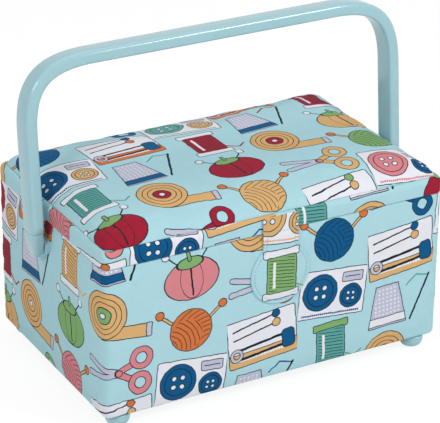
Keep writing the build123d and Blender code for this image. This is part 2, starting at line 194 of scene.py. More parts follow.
class Graph:
    """A node tree that is built from nothing up to its output."""

    def __init__(self, tree, output):
        self.tree = tree
        self.tree.nodes.clear()
        self.output = self.tree.nodes.new(output)

    def add(self, kind, settings=None, values=(), output=0):
        """A node of one kind, with its settings and the values or links of its sockets."""
        node = self.tree.nodes.new(kind)
        for name, setting in (settings or {}).items():
            if name == "stops":
                self.set_stops(node.color_ramp, setting)
            else:
                setattr(node, name, setting)
        for key, value in values.items() if isinstance(values, dict) else enumerate(values):
            if isinstance(value, Wire):
                self.tree.links.new(value.socket, node.inputs[key])
            else:
                node.inputs[key].default_value = value
        return Wire(self, node.outputs[output])

    @staticmethod
    def set_stops(ramp, stops):
        """Flat steps of colour, each from its place to the next."""
        ramp.interpolation = "CONSTANT"
        while len(ramp.elements) < len(stops):
            ramp.elements.new(1.0)
        for element, (place, value) in zip(ramp.elements, stops):
            element.position = place
            element.color = value

    def show(self, surface):
        """What the tree makes visible."""
        self.tree.links.new(surface.socket, self.output.inputs["Surface"])

    def maths(self, operation, *values, clamp=False):
        """A Math node on values."""
        return self.add("ShaderNodeMath", {"operation": operation, "use_clamp": clamp}, values)

    def mix(self, share, first, second):
        """A colour between two, second where share is 1."""
        return self.add("ShaderNodeMix", {"data_type": "RGBA"}, {0: share, 6: first, 7: second}, 2)

    def noise(self, place, scale, detail=2.0, output=0):
        """Soft random value, 0.5 on average, or colour with output 1."""
        values = {"Vector": place, "Scale": scale, "Detail": detail}
        return self.add("ShaderNodeTexNoise", {}, values, output)

    def cloth(self):
        """Place on the cloth, in metres."""
        return self.add("ShaderNodeUVMap", {"uv_map": CLOTH_MAP})

    def place(self):
        """Place in the frame, in metres."""
        return self.add("ShaderNodeTexCoord", {}, (), 3)

    def apart(self, vector):
        """The three parts of a vector."""
        split = self.add("ShaderNodeSeparateXYZ", {}, (vector,))
        return [Wire(self, output) for output in split.socket.node.outputs]

    def join(self, x, y, z=0.0):
        """A vector from its parts."""
        return self.add("ShaderNodeCombineXYZ", {}, (x, y, z))


class Finish(Graph):
    """A material: its shader, and what varies it over the surface."""

    def __init__(self, label, **constants):
        self.material = bpy.data.materials.new(label)
        self.material.use_nodes = True
        super().__init__(self.material.node_tree, "ShaderNodeOutputMaterial")
        self.shader = self.tree.nodes.new("ShaderNodeBsdfPrincipled")
        self.show(Wire(self, self.shader.outputs[0]))
        sockets = {socket.name.lower().replace(" ", "_"): socket for socket in self.shader.inputs}
        for name, value in constants.items():
            sockets[name].default_value = value

    def feed(self, socket, wire):
        """What varies one of the shader's sockets."""
        self.tree.links.new(wire.socket, self.shader.inputs[socket])

    def tone(self, tint, value):
        """The base colour: a tint made lighter or darker by a value."""
        grey = self.join(value, value, value)
        self.feed("Base Color", grey.vector("MULTIPLY", tint if isinstance(tint, Wire) else tint[:3]))

    def bump(self, height, depth, strength=1.0):
        """Relief from a height between 0 and 1."""
        values = {"Height": height, "Distance": depth, "Strength": strength}
        self.feed("Normal", self.add("ShaderNodeBump", {}, values))


# ---------------------------------------------------------------- printed motifs
class Picture:
    """Flat shapes of colour laid over each other, in millimetres from the middle of a motif. A shape is the
    distance from its own edge, negative inside."""

    EDGE = 0.25                        # soft rim of a printed shape
    OUTLINE = 0.62                     # drawn line round it

    def __init__(self, finish, place, ground):
        self.finish = finish
        self.place = place
        self.colour = ground

    def cover(self, distance, tint, spread=0.0):
        """Lays a colour, or the colour of that name, where distance is under spread."""
        slope = -1 / self.EDGE
        share = distance.maths("MULTIPLY_ADD", slope, 0.5 - spread * slope, clamp=True)
        self.colour = self.finish.mix(share, self.colour, colour(tint) if isinstance(tint, str) else tint)

    def shape(self, distance, tint):
        """A coloured shape with an ink line round it."""
        self.cover(distance, "ink", self.OUTLINE)
        self.cover(distance, tint)

    def stroke(self, start, end, tint, half_width):
        """A drawn line with no outline."""
        self.cover(self.strip(start, end, 0.1), tint, half_width)

    def disc(self, x, y, radius, place=None):
        """Distance from a round shape."""
        return (place or self.place).vector("DISTANCE", (x, y, 0.0), output=1) - radius

    def slab(self, x, y, half_width, half_height, corner, place=None):
        """Distance from a rounded rectangle."""
        core = (half_width - corner, half_height - corner, 0.0)
        out = (place or self.place).vector("SUBTRACT", (x, y, 0.0)).vector("ABSOLUTE")
        out = out.vector("SUBTRACT", core).vector("MAXIMUM", (0.0, 0.0, 0.0))
        return out.vector("LENGTH", output=1) - corner

    def strip(self, start, end, radius, place=None):
        """Distance from a straight stroke with round ends."""
        run = Vector((*end, 0.0)) - Vector((*start, 0.0))
        here = (place or self.place).vector("SUBTRACT", (*start, 0.0))
        share = here.vector("DOT_PRODUCT", tuple(run / run.length_squared), output=1)
        share = share.maths("ADD", 0.0, clamp=True)
        foot = self.finish.add(
            "ShaderNodeVectorMath", {"operation": "SCALE"}, {0: tuple(run), "Scale": share}
        )
        return here.vector("DISTANCE", foot, output=1) - radius

    def dots(self, y, pitch, radius, half_length):
        """Distance from a row of dots."""
        across, up = self.parts()
        folded = self.finish.join((across + pitch / 2).maths("PINGPONG", pitch / 2), up)
        return both(self.disc(pitch / 4, y, radius, folded), abs(across) - half_length)

    def parts(self):
        """How far across and how far up the place is."""
        return self.finish.apart(self.place)[:2]

    def folded(self, sideways):
        """The place folded over its upright middle line, or else over its level one."""
        across, up = self.parts()
        return self.finish.join(abs(across), up) if sideways else self.finish.join(across, abs(up))

    def scaled(self, across):
        """The place with its distance across changed, which turns discs into ovals."""
        return self.place.vector("MULTIPLY", (across, 1.0, 1.0))


def both(first, *others):
    """The part that shapes share."""
    for other in others:
        first = first.maths("MAXIMUM", other)
    return first


def stripes(value, pitch, width):
    """Distance from parallel lines."""
    return value.maths("PINGPONG", pitch / 2) - width / 2


def draw_spool(picture, main, second):
    """Reel of thread, seen from the side, with its loose end."""
    across, up = picture.parts()
    picture.stroke((9, -8), (19, -14), main, 0.5)
    picture.stroke((19, -14), (24, -10), main, 0.5)
    picture.shape(picture.slab(0, 15, 13, 2.4, 1.0, picture.place.vector("ABSOLUTE")), second)
    reel = picture.slab(0, 0, 10.5, 12.6, 2.0)
    picture.shape(reel, main)
    picture.cover(both(stripes(up + across * 0.16, 2.4, 0.5), reel + 1.2), "ink")
    picture.cover(picture.slab(-5.5, 0, 1.0, 9.5, 0.9), "chalk")


def draw_buttons(picture, main, second):
    """A large and a small button, sewn to their card."""
    picture.shape(picture.slab(0, 0, 25, 16.8, 1.2), "chalk")
    picture.cover(picture.dots(-14.8, 3.2, 0.75, 22), main)
    for x, y, size, tint in ((-9.5, 1.2, 0.85, main), (14.5, -3.8, 0.55, second)):
        picture.shape(picture.disc(x, y, 15 * size), tint)
        picture.cover(abs(picture.disc(x, y, 11.5 * size)) - 0.3, "ink")
        holes = picture.place.vector("SUBTRACT", (x, y, 0.0)).vector("ABSOLUTE")
        picture.shape(picture.disc(3.6 * size, 3.6 * size, 1.7 * size, holes), "chalk")
    picture.shape(picture.slab(14.5, 10.3, 7.5, 3.2, 0.8), "lilac")
    picture.stroke((9, 10.4), (20, 10.4), "ink", 0.25)


def draw_scissors(picture, main, second):
    """Open scissors, lying along the cloth."""
    folded = picture.folded(sideways=False)
    picture.shape(picture.strip((2, 0.6), (-23, 5.2), 1.7, folded), "lilac")
    picture.shape(picture.strip((1, 0.6), (11, 5.5), 1.9, folded), main)
    picture.shape(abs(picture.disc(16.6, 8.8, 6.0, folded)) - 1.8, main)
    picture.shape(picture.disc(1.5, 0, 1.9), second)


def draw_tape(picture, main, second):
    """A rolled tape measure with its end pulled out."""
    across, up = picture.parts()
    tail = picture.slab(7, -10.6, 16, 4.2, 0.7)
    picture.shape(tail, "mustard")
    picture.cover(both(stripes(across, 3.2, 0.6), up + 9.6, tail + 0.9), "ink")
    picture.shape(picture.slab(23.5, -10.6, 1.6, 4.6, 0.7), "lilac")
    roll = picture.disc(-9, 1.6, 16)
    picture.shape(roll, "mustard")
    picture.cover(both(stripes(roll, 3.4, 0.55), roll + 1.0), "ink")
    picture.shape(picture.disc(-9, 1.6, 5.4), main)
    picture.shape(picture.disc(-9, 1.6, 1.7), "chalk")


def draw_tomato(picture, main, second):
    """A stuffed round pincushion with two pins."""
    folded = picture.folded(sideways=True)
    picture.cover(picture.strip((6, 6), (15, 15), 0.1, folded), "ink", 0.4)
    picture.shape(picture.disc(16, 16, 2.3, folded), second)
    body = picture.disc(0, -4, 14, picture.scaled(0.74))
    picture.shape(body, main)
    picture.cover(both(abs(picture.disc(0, -4, 13.6, picture.scaled(1.7))) - 0.3, body), "ink")
    picture.cover(picture.slab(0, -5, 0.6, 11, 0.5), "ink")
    picture.shape(picture.disc(0, 7.5, 3.6, picture.scaled(0.42)), "lime")
    picture.shape(picture.slab(0, 12, 0.9, 3.0, 0.8), "lime")


def draw_thimble(picture, main, second):
    """A dimpled thimble beside a threaded needle."""
    across, up = picture.parts()
    picture.stroke((24, 14), (14, 17), main, 0.5)
    picture.stroke((14, 17), (6, 11), main, 0.5)
    picture.stroke((9, -15), (24, 15), "ink", 0.65)
    sides = abs(across + 9) + up * 0.2 - 11.5
    cup = both(sides, picture.slab(-9, 0, 18, 15, 5.0))
    picture.shape(cup, "lilac")
    dimples = both(stripes(across, 3.0, 1.3), stripes(up, 3.0, 1.3))
    picture.cover(both(dimples, cup + 1.6, -up - 6.5), "chalk")
    picture.shape(both(sides, picture.slab(-9, -11, 18, 2.6, 0.8)), second)


def draw_yarn(picture, main, second):
    """A ball of wool with two needles through it."""
    folded = picture.folded(sideways=True)
    picture.shape(picture.strip((-12, -15), (21, 12), 0.7, folded), "mustard")
    picture.shape(picture.disc(22.5, 13.5, 2.7, folded), second)
    ball = picture.disc(0, -1, 14.6)
    picture.shape(ball, main)
    low, high = stripes(picture.disc(-16, -12, 0), 3.2, 0.5), stripes(picture.disc(14, -16, 0), 3.2, 0.5)
    picture.cover(both(low, picture.disc(-3, -4, 11), ball + 0.6), "ink")
    picture.cover(both(high, -picture.disc(-3, -4, 11.6), ball + 0.6), "ink")


def draw_pin(picture, main, second):
    """A closed safety pin and two round-headed pins, stuck in their card."""
    picture.shape(picture.slab(0, 0, 25, 16.8, 1.2), second)
    picture.shape(picture.slab(0, 4.8, 25, 12.0, 1.2), "chalk")
    picture.cover(picture.dots(-12.3, 4.2, 1.0, 22), "chalk")
    for y, tint in ((13, main), (6.5, second)):
        picture.stroke((-21, y - 3), (9, y + 1), "ink", 0.45)
        picture.shape(picture.disc(11, y + 1.2, 2.6), tint)
    for left, right in ((-4.5, -2.5), (-11.5, -10)):
        picture.cover(picture.strip((-17, left), (17, right), 0.2), "ink", 0.75)
    picture.shape(abs(picture.disc(-19.5, -8, 3.6)) - 0.9, "lilac")
    picture.shape(picture.slab(19, -6.4, 4.4, 6.4, 2.6), main)


MOTIFS = (
    draw_spool, draw_scissors, draw_buttons, draw_tape,
    draw_yarn, draw_thimble, draw_tomato, draw_pin,
)
MAIN_COLOURS = ("crimson", "blue", "orange", "lime", "crimson", "mint", "blue", "pink", "mustard")
SECOND_COLOURS = ("chalk", "orange", "lime", "mustard", "chalk", "blue", "pink")
STRAY = 1.3                            # how far a drawn line strays, in millimetres
LEAN = 0.1                             # how far a motif leans, in radians
LEAN_STEPS = (2.3, 1.7)                # how the lean and the choices move on with each column and each row
KIND_STEPS = (3, 2)
MAIN_STEPS = (4, 5)
SECOND_STEPS = (2, 3)


def picked(finish, number, names):
    """One of several colours, by a whole number."""
    count = len(names)
    stops = [(step / count, colour(name)) for step, name in enumerate(names)]
    place = (number.maths("FLOORED_MODULO", float(count)) + 0.5) / count
    return finish.add("ShaderNodeValToRGB", {"stops": stops}, (place,))


def haberdashery(finish, cloth):
    """The print's colour: sewing things in half-dropped columns, each a little tilted."""
    width, height = sizes().motif_width / MM, sizes().motif_height / MM
    place = cloth.vector("MULTIPLY", (1 / MM, 1 / MM, 0.0))
    wobble = finish.noise(place, 0.16, 1.0, output=1).vector("SUBTRACT", (0.5, 0.5, 0.5))
    drawn = place.vector("ADD", wobble.vector("MULTIPLY", (STRAY, STRAY, 0.0)))
    across, up, _ = finish.apart(drawn)
    column = (across / width).maths("FLOOR")
    dropped = up + column.maths("FLOORED_MODULO", 2.0) * (height / 2)
    row = (dropped / height).maths("FLOOR")
    local = finish.join(across - (column + 0.5) * width, dropped - (row + 0.5) * height)

    def moved_on(steps):
        return column * steps[0] + row * steps[1]

    tilt = moved_on(LEAN_STEPS).maths("SINE") * LEAN
    turned = finish.add(
        "ShaderNodeVectorRotate", {"rotation_type": "Z_AXIS"}, {"Vector": local, "Angle": tilt}
    )
    turned = turned.vector("MULTIPLY", (1 / sizes().motif_scale,) * 3)
    kind = moved_on(KIND_STEPS).maths("FLOORED_MODULO", float(len(MOTIFS)))
    main = picked(finish, moved_on(MAIN_STEPS), MAIN_COLOURS)
    second = picked(finish, moved_on(SECOND_STEPS), SECOND_COLOURS)
    result = colour("ground")
    for number, draw in enumerate(MOTIFS):
        picture = Picture(finish, turned, colour("ground"))
        draw(picture, main, second)
        result = finish.mix(kind.maths("COMPARE", float(number), 0.4), result, picture.colour)
    return result


# ---------------------------------------------------------------- finishes
def weave(across, up, pitch):
    """Height of a plain weave, from 0 to 1: threads that pass over and under each other."""
    turn = 2 * math.pi / pitch
    over = (across * turn).maths("SINE") * (up * turn).maths("SINE")
    return over * 0.5 + 0.5


def printed_cloth(label):
    """Cotton with the haberdashery print, a little uneven in its dye."""
    finish = Finish(label, roughness=0.82, sheen_weight=0.04, sheen_roughness=0.5, specular_ior_level=0.12)
    cloth = finish.cloth()
    across, up, _ = finish.apart(cloth)
    threads = weave(across, up, sizes().yarn)
    dye = finish.noise(cloth.vector("MULTIPLY", (1 / MM, 1 / MM, 0.0)), 0.11, 3.0) * 0.5 + 0.75
    finish.tone(haberdashery(finish, cloth), (dye * 0.16 + 0.84) * (threads * 0.05 + 0.96))
    slubs = finish.noise(cloth, 900.0)
    finish.bump(threads * 0.6 + slubs * 0.6, 0.12 * MM, 0.5)
    return finish.material


def plain_cloth(label, tint, pitch_scale=1.0):
    """One-colour woven cloth."""
    finish = Finish(label, roughness=0.86, sheen_weight=0.15, sheen_roughness=0.5, specular_ior_level=0.2)
    cloth = finish.cloth()
    across, up, _ = finish.apart(cloth)
    threads = weave(across, up, sizes().yarn * pitch_scale)
    slubs = finish.noise(cloth, 700.0, 3.0)
    finish.tone(colour(tint), threads * 0.08 + slubs * 0.16 + 0.86)
    finish.bump(threads * 0.6 + slubs * 0.8, 0.15 * MM, 0.6)
    return finish.material


def elastic_web(label):
    """Ribbed elastic."""
    finish = Finish(label, roughness=0.8, sheen_weight=0.1)
    across, up, _ = finish.apart(finish.cloth())
    ribs = (up * (2 * math.pi / (0.9 * MM))).maths("SINE") * 0.5 + 0.5
    threads = weave(across, up, 0.6 * MM)
    finish.tone(colour("chalk"), ribs * 0.15 + threads * 0.08 + 0.8)
    finish.bump(ribs * 0.7 + threads * 0.3, 0.2 * MM, 0.7)
    return finish.material


def marked(finish, marks, tint, tone, gloss=None, relief=None):
    """Tone and roughness follow the same marks, each as how much they change it and what it is without them.
    relief is a depth in millimetres and a strength."""
    finish.tone(tint, marks * tone[0] + tone[1])
    if gloss:
        finish.feed("Roughness", marks * gloss[0] + gloss[1])
    if relief:
        finish.bump(marks, relief[0] * MM, relief[1])
    return finish.material


def sewing_thread(label):
    """Twisted polyester thread."""
    finish = Finish(label, roughness=0.55, sheen_weight=0.2, specular_ior_level=0.4)
    twist = finish.noise(finish.place(), 1500.0)
    return marked(finish, twist, colour("thread"), (0.25, 0.85), relief=(0.05, 0.5))


def aqua_plastic(label):
    """Moulded plastic of the handle and feet: satin and a little cloudy."""
    finish = Finish(label, roughness=0.18, ior=1.5)
    cloud = finish.noise(finish.place(), 26.0, 3.0)
    return marked(finish, cloud, colour("plastic"), (0.08, 0.96), (0.08, 0.13), (0.03, 0.3))


def tray_plastic(label):
    """Frosted clear plastic of the lift-out tray."""
    finish = Finish(label, roughness=0.28, ior=1.49, transmission_weight=0.35)
    place = finish.place()
    marks = finish.noise(place, 300.0)
    finish.feed("Roughness", marks * 0.1 + 0.25)
    finish.bump(marks, 0.02 * MM, 0.2)
    return marked(finish, finish.noise(place, 40.0), (0.86, 0.93, 0.93), (0.06, 0.95))


def grey_board(label):
    """Pressed grey board with short fibres."""
    finish = Finish(label, roughness=0.9, specular_ior_level=0.2)
    place = finish.place()
    fibres = finish.noise(place.vector("MULTIPLY", (1.0, 1.0, 3.0)), 500.0, 4.0)
    flecks = finish.noise(place, 1400.0)
    finish.tone((0.42, 0.38, 0.33), fibres * 0.3 + flecks * 0.2 + 0.75)
    finish.bump(fibres, 0.12 * MM, 0.6)
    return finish.material


def ledge_wood(label):
    """Plain softwood strip, grain along its length."""
    finish = Finish(label, roughness=0.62, specular_ior_level=0.3)
    grain = finish.noise(finish.place().vector("MULTIPLY", (300.0, 14.0, 300.0)), 1.0, 4.0)
    finish.feed("Base Color", finish.mix(grain, (0.55, 0.36, 0.19, 1.0), (0.78, 0.60, 0.38, 1.0)))
    finish.bump(grain, 0.1 * MM, 0.5)
    return finish.material


def bright_steel(label):
    """Zinc-plated steel with fine turning marks."""
    finish = Finish(label, metallic=1.0)
    marks = finish.noise(finish.place().vector("MULTIPLY", (1.0, 1.0, 8.0)), 900.0, 3.0)
    return marked(finish, marks, (0.62, 0.63, 0.64), (0.2, 0.9), (0.25, 0.22), (0.03, 0.4))


def dark_magnet(label):
    """Sintered magnet, nickel plated."""
    finish = Finish(label, metallic=0.8)
    speckle = finish.noise(finish.place(), 1100.0, 3.0)
    return marked(finish, speckle, (0.30, 0.30, 0.31), (0.3, 0.85), (0.3, 0.3))


MAKERS = {
    "printed_cotton": printed_cloth,
    "plain_cotton": lambda label: plain_cloth(label, "ground"),
    "lining_cotton": lambda label: plain_cloth(label, "lining"),
    "pincushion_felt": lambda label: plain_cloth(label, "cushion", 1.6),
    "elastic_web": elastic_web,
    "sewing_thread": sewing_thread,
    "aqua_plastic": aqua_plastic,
    "tray_plastic": tray_plastic,
    "grey_board": grey_board,
    "ledge_wood": ledge_wood,
    "bright_steel": bright_steel,
    "dark_magnet": dark_magnet,
}


def finished(name):
    """The material of that name, made the first time it is asked for."""
    label = f"sewing_box_{name}"
    return bpy.data.materials.get(label) or MAKERS[name](label)


# ---------------------------------------------------------------- meshes
def by_number(j, i):
    """Place on the cloth for a piece that is moulded or bound: a millimetre a face."""
    return MM * i, MM * j


def circle(count):
    """Cosine and sine of evenly spaced turns."""
    turns = (2 * math.pi * k / count for k in range(count))
    return [(math.cos(turn), math.sin(turn)) for turn in turns]


class Patchwork:
    """A mesh in the making: points, faces, and each face corner's place on the cloth."""

    def __init__(self):
        self.points = []
        self.faces = []
        self.cloth = []
        self.slots = []

    def add_points(self, points):
        """Adds points and returns the number of the first."""
        first = len(self.points)
        self.points.extend(Vector(point) for point in points)
        return first

    def add_face(self, corners, cloth=None, slot=0):
        """One face. Without a place on the cloth it takes the colour of the cloth's corner."""
        self.faces.append(tuple(corners))
        self.cloth.append(tuple(cloth or [(0.0, 0.0)] * len(self.faces[-1])))
        self.slots.append(slot)

    def add_rows(self, rows, mark=by_number, wrap=True, close=False, slot=0):
        """Joins rows of as many points with four-sided faces. mark gives the place on the cloth of point i in
        row j, and is asked for one point and one row more where they come round again."""
        count = len(rows[0])
        first = self.add_points(point for row in rows for point in row)
        for j in range(len(rows) if close else len(rows) - 1):
            low, high = first + j * count, first + (j + 1) % len(rows) * count
            for i in range(count if wrap else count - 1):
                after = (i + 1) % count
                corners = (low + i, low + after, high + after, high + i)
                self.add_face(corners, (mark(j, i), mark(j, i + 1), mark(j + 1, i + 1), mark(j + 1, i)), slot)
        return first

    def add_flat(self, rows, shift=(0.0, 0.0)):
        """Faces between rows of points, with the cloth laid on from above."""
        self.add_rows(rows, lambda j, i: (rows[j][i].x + shift[0], rows[j][i].y + shift[1]), wrap=False)

    def add_tube(self, rows, mark=by_number, slot=0):
        """Rings of points joined to a tube with closed ends."""
        count = len(rows[0])
        first = self.add_rows(rows, mark, slot=slot)
        for start, step in ((first, -1), (first + (len(rows) - 1) * count, 1)):
            self.add_face([start + k for k in range(count)][::step], slot=slot)

    def add_sheet(self, faces, width, height):
        """The two faces of a sheet, each as rows of points, bound together along their edges."""
        rows, columns = len(faces[0]), len(faces[0][0])
        for face in faces:
            second = self.add_rows(
                face, lambda j, i: (width * i / (columns - 1), height * j / (rows - 1)), wrap=False
            )
        first = second - rows * columns
        rim = list(range(columns))
        rim += [j * columns + columns - 1 for j in range(1, rows)]
        rim += [(rows - 1) * columns + i for i in range(columns - 2, -1, -1)]
        rim += [j * columns for j in range(rows - 2, 0, -1)]
        for here, after in zip(rim, rim[1:] + rim[:1]):
            self.add_face([first + here, first + after, second + after, second + here])

    def build(self, name, *finishes):
        """Makes the object, smooth shaded, with the finishes of these names."""
        mesh = bpy.data.meshes.new(name)
        mesh.from_pydata(self.points, [], self.faces)
        layer = mesh.uv_layers.new(name=CLOTH_MAP)
        layer.data.foreach_set("uv", [value for face in self.cloth for uv in face for value in uv])
        mesh.polygons.foreach_set("material_index", self.slots)
        for finish in finishes:
            mesh.materials.append(finished(finish))
        work = bmesh.new()
        work.from_mesh(mesh)
        bmesh.ops.remove_doubles(work, verts=work.verts, dist=0.002 * MM)
        bmesh.ops.recalc_face_normals(work, faces=work.faces)
        work.to_mesh(mesh)
        work.free()
        mesh.shade_smooth()
        mesh.validate()
        piece = bpy.data.objects.new(name, mesh)
        bpy.context.scene.collection.objects.link(piece)
        return piece


def finish_piece(piece, body, slot, *nodes):
    """The piece rides on a body and stands for these nodes. slot is not used."""
    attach(piece, body)
    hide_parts(*nodes)
    return piece


def puff(piece, held, cap):
    """Fills a soft piece from inside: cloth with a little ease swells between the points that are sewn
    down, none of which moves further than cap."""
    ease, pressure, frames, inward = 0.02, 4.0, 20, 0.6
    scene, mesh = bpy.context.scene, piece.data
    before = [vertex.co.copy() for vertex in mesh.vertices]
    sewn = piece.vertex_groups.new(name="Sewn")
    sewn.add([number for number, point in enumerate(before) if held(point)], 1.0, "REPLACE")
    cloth = piece.modifiers.new("Cloth", "CLOTH")
    cloth.collision_settings.use_collision = False
    settings = cloth.settings
    settings.vertex_group_mass = sewn.name
    settings.quality, settings.mass, settings.air_damping = 6, 0.25, 2.0
    settings.tension_stiffness = settings.compression_stiffness = 20.0
    settings.shear_stiffness, settings.bending_stiffness = 10.0, 0.4
    settings.shrink_min = -ease
    settings.use_pressure, settings.uniform_pressure_force = True, pressure
    settings.effector_weights.gravity = 0.0
    cloth.point_cache.frame_start, cloth.point_cache.frame_end = 1, frames
    for number in range(1, frames + 1):
        scene.frame_set(number)
    settled = piece.evaluated_get(bpy.context.evaluated_depsgraph_get())
    after = [vertex.co.copy() for vertex in settled.data.vertices]
    piece.modifiers.remove(cloth)
    piece.vertex_groups.remove(sewn)
    scene.frame_set(1)
    outward = [vertex.normal.copy() for vertex in mesh.vertices]
    for vertex, start, end, normal in zip(mesh.vertices, before, after, outward):
        move = end - start
        move -= normal * min(move.dot(normal), 0.0) * inward
        if move.length > 0:
            vertex.co = start + move * (cap * math.tanh(move.length / cap) / move.length)
    mesh.update()


class Plan:
    """A rounded rectangle seen from above, sampled once anticlockwise from the middle of its back edge, which
    can be drawn in. A sample is a corner of the core or a place between two, the way out, and the run."""

    def __init__(self, low, high, corner, step=5 * MM, corner_steps=8):
        self.centre = (Vector(low[:2]) + Vector(high[:2])) / 2
        self.half = (Vector(high[:2]) - Vector(low[:2])) / 2
        self.corner = corner
        self.samples = []
        core = self.half - Vector((corner, corner))
        stops = [(0, 1), (-1, 1), (-1, -1), (1, -1), (1, 1), (0, 1)]
        last = len(stops) - 2
        run = 0.0
        for leg, (start, end) in enumerate(zip(stops, stops[1:])):
            start, end = Vector(start), Vector(end)
            away = end - start
            facing = Vector((away.y, -away.x)).normalized()
            reach = Vector((away.x * core.x, away.y * core.y)).length
            half_side = leg in (0, last)
            steps = max(1, round(reach * (1 + half_side) / 2 / step)) * (2 - half_side)
            for i in range(steps + (leg == last)):
                share = i / steps
                self.samples.append((start.lerp(end, share), facing, run + share * reach))
            run += reach
            if leg < last:
                for i in range(corner_steps):
                    angle = math.pi / 2 * i / corner_steps
                    turned = Matrix.Rotation(angle, 2) @ facing
                    self.samples.append((end, turned, run + angle * corner))
                run += math.pi / 2 * corner
        self.samples.pop()
        self.around = [sample[2] for sample in self.samples] + [run]

    def ring(self, inset, z, corner=None, lift=None):
        """The outline drawn in by inset at a height. lift moves each point outward by its own distance."""
        radius = max(self.corner - inset, 0.3 * MM) if corner is None else corner
        points = []
        for number, (place, facing, _) in enumerate(self.samples):
            core = self.half - Vector((inset + radius, inset + radius))
            out = radius + (lift(number) if lift else 0.0)
            flat = Vector((place.x * core.x, place.y * core.y)) + facing * out + self.centre
            points.append(Vector((flat.x, flat.y, z)))
        return points

    def corner_numbers(self):
        """The samples in the middle of the four corners."""
        middles = []
        for sign in ((-1, 1), (-1, -1), (1, -1), (1, 1)):
            turned = [n for n, (place, facing, _) in enumerate(self.samples)
                      if tuple(place) == sign and 0.02 < abs(facing.x) < 0.98]
            middles.append(turned[len(turned) // 2])
        return middles

    def spanned(self, ring):
        """Fills a ring: rows of points between its four sides, the first row along the front."""
        back_left, front_left, front_right, back_right = self.corner_numbers()
        count = len(ring)
        left = [ring[i] for i in range(back_left, front_left + 1)][::-1]
        front = [ring[i] for i in range(front_left, front_right + 1)]
        right = [ring[i] for i in range(front_right, back_right + 1)]
        back = [ring[i % count] for i in range(back_right, back_left + count + 1)][::-1]
        rows = []
        for j, (west, east) in enumerate(zip(left, right)):
            t = j / (len(left) - 1)
            row = []
            for i, (south, north) in enumerate(zip(front, back)):
                s = i / (len(front) - 1)
                sides = west.lerp(east, s) + south.lerp(north, t)
                corners = front[0].lerp(front[-1], s).lerp(back[0].lerp(back[-1], s), t)
                row.append(sides - corners)
            rows.append(row)
        return rows


def run_along(points):
    """Distance run at each point of a path."""
    run, lengths = 0.0, [0.0]
    for first, second in zip(points, points[1:]):
        run += (Vector(second) - Vector(first)).length
        lengths.append(run)
    return lengths


def girth(ring):
    """Distance round a closed outline."""
    return sum((second - first).length for first, second in zip(ring, ring[1:] + ring[:1]))


def bend(centre, radius, start, end, steps):
    """Points of an arc in the plane of inset and height, angles in degrees."""
    points = []
    for i in range(steps + 1):
        angle = math.radians(start + (end - start) * i / steps)
        points.append((centre[0] + radius * math.cos(angle), centre[1] + radius * math.sin(angle)))
    return points


def upright(start, end, steps, inset=0.0):
    """Points of a profile that runs straight up or down, without its end."""
    return [(inset, start + (end - start) * i / steps) for i in range(steps)]


def smooth(value, low, high):
    """0 below low, 1 above high, and an even slope between."""
    share = min(max((value - low) / (high - low), 0.0), 1.0)
    return share * share * (3 - 2 * share)


def joint_place(name):
    """Where a joint of the frame turns."""
    return next(joint for joint in frame["joints"] if joint["name"] == name)["pos_m"]


def stitch_row(patch, path, facing, closed=False):
    """Sews a row of stitches in the second finish along a path, each stitch a small raised bead of thread."""
    own = sizes()
    if closed:
        path = [*path, path[0]]
    runs = run_along(path)
    count = max(1, round(runs[-1] / (own.stitch + own.stitch_gap)))
    pitch = runs[-1] / count

    def at(distance):
        distance = min(max(distance, 0.0), runs[-1])
        for number, run in enumerate(runs[1:]):
            if distance <= run or number == len(runs) - 2:
                span = max(run - runs[number], 1e-9)
                return path[number].lerp(path[number + 1], (distance - runs[number]) / span)

    for i in range(count):
        start, end = at(i * pitch + own.stitch_gap / 2), at((i + 1) * pitch - own.stitch_gap / 2)
        bead(patch, start, end, facing((start + end) / 2), own.thread)


BEAD = ((0.0, 0.15), (0.18, 0.8), (0.5, 1.0), (0.82, 0.8), (1.0, 0.15))     # share of length, share of radius
SUNK = 0.7                             # how much of a stitch's radius lies in the cloth


def bead(patch, start, end, up, radius):
    """A raised stitch: a thin body with pointed ends that dips into the cloth at both."""
    run = end - start
    side = run.cross(up).normalized()
    rows = []
    for share, swell in BEAD:
        centre = start + run * share + up * radius * (swell - SUNK)
        rows.append([centre + (side * across + up * rise) * radius * swell for across, rise in circle(6)])
    patch.add_tube(rows, lambda j, i: (radius * i, run.length * j / 4), slot=1)


# ---------------------------------------------------------------- padded walls
CLOTH = 0.45 * MM                      # thickness of the cloth
WALL = 6.3 * MM                        # cloth, wadding and board of a wall together


def wall_lift(plan, low, high, swell, seed):
    """How far the wadding and its pulls move a wall's cloth: a function of sample number and height."""
    patches, patch_depth = 22, 0.22 * MM       # soft patches to a metre
    pulls, pull_depth = 9, 0.32 * MM           # pulls in the cloth that fan out from a lower corner
    side_slope, end_slope = 26 * MM, 14 * MM   # where the swell has its full height

    def lift(number, z):
        place, facing, run = plan.samples[number]
        spot = Vector((place.x * plan.half.x, place.y * plan.half.y))
        square = facing.x if abs(facing.x) > abs(facing.y) else facing.y
        to_corner = min(
            plan.half.x - abs(spot.x) if abs(facing.y) > 0.9 else plan.half.y - abs(spot.y),
            0.1,
        )
        if abs(square) < 0.98:
            to_corner = 0.0
        inward = smooth(to_corner, 0.0, side_slope) * smooth(min(z - low, high - z), 0.0, end_slope)
        soft = noise.noise(Vector((run * patches, z * patches, seed))) * patch_depth
        spread = math.hypot(to_corner, z - low)
        fan = math.atan2(z - low, to_corner + 1e-6)
        fade = smooth(spread, 3 * MM, 10 * MM) * (1 - smooth(spread, 18 * MM, 46 * MM))
        slanting = 1.0 if 0.4 < abs(fan) < 1.45 else 0.35
        pull = math.sin(fan * pulls + seed + square) * pull_depth * fade * slanting
        return swell * inward + soft * inward + pull

    return lift


